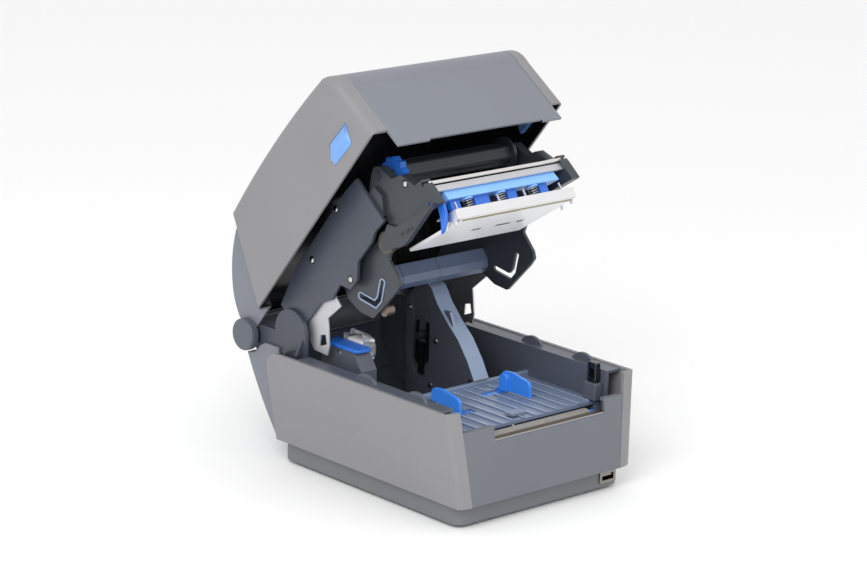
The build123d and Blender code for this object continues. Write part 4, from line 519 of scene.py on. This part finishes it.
# The cross and the ring round the head are drawn black as painted shade.
CROSS_SHADE = (box((-1.5, -0.3), (1.5, 0.3)), box((-0.3, -1.5), (0.3, 1.5)))
CROSS_LOW, CROSS_HIGH = 0.8, 1.02
SUNK_SHADE_RADIUS, SUNK_SHADE_HEIGHT = 3.3, 0.06
PLATE_SCREWS, PLATE_FOOT = ((-9.4, 103), (48, 94.6), (21, 52)), 85.5
BLOCK_SCREW, BLOCK_FOOT = (-86.3, 64.7), 79
HOLDER_SCREWS, HOLDER_FOOT = ((79, 125), (45, 102), (50.5, 61)), 22


def add_screw(shape, plane, across, up, foot, way):
    """Adds a screw whose head stands from foot along X, in the direction of way."""
    seat = (plane @ Matrix.Translation(Vector((foot, across, up)) * MM)
            @ Matrix.Diagonal((way, 1, 1, 1)))
    verts = [shape.verts.new(seat @ (Vector((height, 0, radius)) * MM))
             for radius, height in SCREW_PROFILE]
    edges = [shape.edges.new(pair) for pair in zip(verts, verts[1:])]
    bmesh.ops.spin(shape, geom=verts + edges, axis=seat.to_3x3() @ Vector((1, 0, 0)),
                   cent=seat.translation, angle=tau, steps=24, use_merge=True)
    # A black cross and ring: painted shade in the recess and the sunk hole.
    for arm in CROSS_SHADE:
        prism(shape, arm, seat, CROSS_LOW, CROSS_HIGH, 1)
    prism(shape, ring((0, 0), SUNK_SHADE_RADIUS, 32), seat, 0, SUNK_SHADE_HEIGHT, 1)


shape = bmesh.new()
for way in (-1, 1):
    for across, up in PLATE_SCREWS:
        add_screw(shape, COVER, across, up, way * PLATE_FOOT, way)
    add_screw(shape, COVER, *BLOCK_SCREW, way * BLOCK_FOOT, way)
piece_from(shape, "mechanism_screw_heads", body_of["mechanism_screws"], [screw_metal, black_pc_and_shade],
           ("mechanism_screws",))
shape = bmesh.new()
for across, up in HOLDER_SCREWS:
    add_screw(shape, BASE, across, up, HOLDER_FOOT, -1)
piece_from(shape, "holder_screw_heads", body_of["holder_screws"], [screw_metal, black_pc_and_shade],
           ("holder_screws",))
print("screws made:", 2 * (len(PLATE_SCREWS) + 1) + len(HOLDER_SCREWS))

# %% [markdown]
# The take-up hub is dark, and only the notched knob at its left end is blue. The raised lip round the
# hooked slot of the carrier's left arm catches the light, so it is drawn as two outlines round the slot,
# joined into a flat band, and its pale colour is a painted highlight.

# %% Take-up hub, slot lip, seam and bush
HUB_AXIS = (-65, 91)
HUB_PARTS = (  # radius, points, notches, notch depth, from, to, material
    (9.9, 60, 6, 1.4, -57, 60, 0), (14, 48, 0, 0, 60, 63, 0), (11, 48, 0, 0, 63, 64.5, 0),
    (3.5, 48, 0, 0, 64, 80, 0), (14, 80, 10, 2.2, -63, -56.8, 1), (3.5, 48, 0, 0, -80, -62.8, 0),
)
shape = bmesh.new()
for radius, count, notches, depth, low, high, slot in HUB_PARTS:
    prism(shape, ring(HUB_AXIS, radius, count, notches, depth), COVER, low, high, slot)
piece_from(shape, "take_up_hub_moulded", body_of["take_up_hub"], [deep_abs, blue_pom],
           ("take_up_hub",))

SLOT = [Vector(point) for point in ((-0.2, 30), (4.8, 27.6), (13.3, 23.2), (20.6, 23.6), (30, 40))]
LIP_INNER, LIP_OUTER = 2.3, 3.5  # distances from the slot's middle line
LIP_BACK, LIP_FRONT = -76.4, -77.3


def slot_outline(half, cap_steps=8):
    """The outline at a distance from the slot's middle line, round at both ends."""
    ways = [(after - before).normalized() for before, after in zip(SLOT, SLOT[1:])]
    sides = [Vector((-way.y, way.x)) for way in ways]

    def cap(end, way, side, start):
        angles = [start + pi * step / cap_steps for step in range(cap_steps + 1)]
        return [end + (way * cos(angle) + side * sin(angle)) * half for angle in angles]

    def mitred(place, sign):
        mean = (sides[place - 1] + sides[place]).normalized()
        return SLOT[place] + sign * mean * half / mean.dot(sides[place])

    bends = range(1, len(SLOT) - 1)
    return (cap(SLOT[0], ways[0], sides[0], pi / 2) + [mitred(place, -1) for place in bends]
            + cap(SLOT[-1], ways[-1], sides[-1], -pi / 2)
            + [mitred(place, 1) for place in reversed(bends)])


shape = bmesh.new()
lip_corners = ((LIP_BACK, LIP_INNER), (LIP_BACK, LIP_OUTER), (LIP_FRONT, LIP_OUTER),
               (LIP_FRONT, LIP_INNER))
loops = [[shape.verts.new(COVER @ (Vector((depth, *point)) * MM)) for point in slot_outline(half)]
         for depth, half in lip_corners]
for loop, follow in zip(loops, loops[1:] + loops[:1]):
    for step in range(len(loop)):
        shape.faces.new((loop[step - 1], loop[step], follow[step], follow[step - 1]))
# The lip's pale colour is a painted highlight.
piece_from(shape, "slot_lip", body_of["carrier_arms"], [pale_sheen_abs])

BOX_BAR = [(28.4, 61.6), (30.9, 50.4), (35.9, 45.9), (43.1, 45.9), (44.7, 52), (41.1, 59.1),
           (33, 64.1)]
BUSH_AXIS, BUSH_RADIUS = (-100, 62), 5.4
for low, high in ((-23.4, -22.8), (18, 18.4)):
    shape = bmesh.new()
    prism(shape, BOX_BAR, COVER, low, high)
    piece_from(shape, "bar_seam", body_of["carrier_bar"], [deep_abs])
shape = bmesh.new()
prism(shape, ring(BUSH_AXIS, BUSH_RADIUS), BASE, 63.3, 64.7)
piece_from(shape, "bronze_bush", "base", [bronze])
print("hub, lip, seams and bush made")

# %% [markdown]
# The guard on the left holder is a white block with a pleated skirt of clear film. The pleats are waves
# in the radius, and they grow towards the free edge.

# %% White guard and film skirt
ROLL_AXIS = (62, 104)
FILM_RINGS, PLEATS = 7, 9
FILM_ROOT, FILM_REACH = -40.4, 14
NECK_RADIUS, FLARE, NECK_PLEAT, PLEAT_GROWTH = 12, 6.6, 0.4, 3.6
shape = bmesh.new()
rings = []
for step in range(FILM_RINGS):
    share = step / (FILM_RINGS - 1)
    outline = ring(ROLL_AXIS, NECK_RADIUS + FLARE * share, 96, PLEATS,
                   NECK_PLEAT + PLEAT_GROWTH * share)
    depth = FILM_ROOT - FILM_REACH * share
    rings.append([shape.verts.new(Vector((depth, *point)) * MM) for point in outline])
for inner, outer in zip(rings, rings[1:]):
    for place in range(len(inner)):
        shape.faces.new((inner[place - 1], inner[place], outer[place], outer[place - 1]))
skirt = piece_from(shape, "film_skirt", body_of["left_roll_hub"], [film])
thickness = skirt.modifiers.new("thickness", "SOLIDIFY")
thickness.thickness = 0.3 * MM

shape = bmesh.new()
prism(shape, box((52, 95), (72, 113)), BASE, -54.5, -40)
prism(shape, ring(ROLL_AXIS, 3), BASE, -69, -54.4)
core = piece_from(shape, "white_guard", body_of["left_roll_hub"], [white_abs],
                  ("left_roll_hub",))
soften(core, 1.2, 3)
print("guard made")

# %% [markdown]
# The studio: a pale floor, a white surround and two soft lights. The surround gives the long soft
# reflections of a product photograph. A large light from the left and above models the side panel, and
# a weaker one from the front lifts the front panel.

# %% Floor and lights
floor_shape = bmesh.new()
bmesh.ops.create_grid(floor_shape, x_segments=1, y_segments=1, size=6)
floor_mesh = bpy.data.meshes.new("floor")
floor_shape.to_mesh(floor_mesh)
floor_shape.free()
floor = bpy.data.objects.new("floor", floor_mesh)
bpy.context.scene.collection.objects.link(floor)
floor_finish, tree, shader = blank("pale_studio_floor")
shader.inputs["Base Color"].default_value = linear("#f4f4f4")
shader.inputs["Roughness"].default_value = 0.8
floor.data.materials.append(floor_finish)

world = bpy.data.worlds.new("studio")
bpy.context.scene.world = world
world.use_nodes = True
world.node_tree.nodes["Background"].inputs["Color"].default_value = linear("#ffffff")
world.node_tree.nodes["Background"].inputs["Strength"].default_value = 1.0
bpy.context.scene.view_settings.view_transform = "Standard"


def soft_light(name, place, aim, size, watts):
    """A square area light that points at aim."""
    data = bpy.data.lights.new(name, "AREA")
    data.energy = watts
    data.size = size
    lamp = bpy.data.objects.new(name, data)
    direction = Vector(aim) - Vector(place)
    turned = direction.to_track_quat("-Z", "Y").to_matrix().to_4x4()
    lamp.matrix_world = Matrix.Translation(place) @ turned
    bpy.context.scene.collection.objects.link(lamp)


middle = (cad_low + cad_high) / 2
soft_light("key", (-1.1, -0.7, 1.1), middle, 0.9, 12)
soft_light("front", (0.3, -1.5, 0.9), middle, 0.8, 2)

# %% [markdown]
# The camera stands where the photographer stood. Its direction, distance and field of view were worked
# out from the printer's own straight edges, and the small shift and roll keep the framing.

# %% Camera
image_width = 867
azimuth = 0.73510561  # radians from the Y axis towards X, of the way that the camera looks
elevation = 0.29049003  # radians below the horizon
roll = radians(-1.5)
focal_pixels = 3071.635
distance = 2.59363
aim = Vector((0, 0.010, 0.093))
shift_pixels = (9.75, 76.97)

forward = Vector((sin(azimuth) * cos(elevation), cos(azimuth) * cos(elevation), -sin(elevation)))
level_right = Vector((cos(azimuth), -sin(azimuth), 0))
level_down = forward.cross(level_right)
right = cos(roll) * level_right + sin(roll) * level_down
down = cos(roll) * level_down - sin(roll) * level_right
camera_data = bpy.data.cameras.new("camera")
camera_data.sensor_width = 36
camera_data.lens = focal_pixels * camera_data.sensor_width / image_width
camera_data.shift_x = -shift_pixels[0] / image_width
camera_data.shift_y = shift_pixels[1] / image_width
camera = bpy.data.objects.new("camera", camera_data)
turn = Matrix((right, -down, -forward)).transposed().to_4x4()
camera.matrix_world = Matrix.Translation(aim - distance * forward) @ turn
bpy.context.scene.collection.objects.link(camera)
bpy.context.scene.camera = camera
print("lens in mm:", round(camera_data.lens, 1))
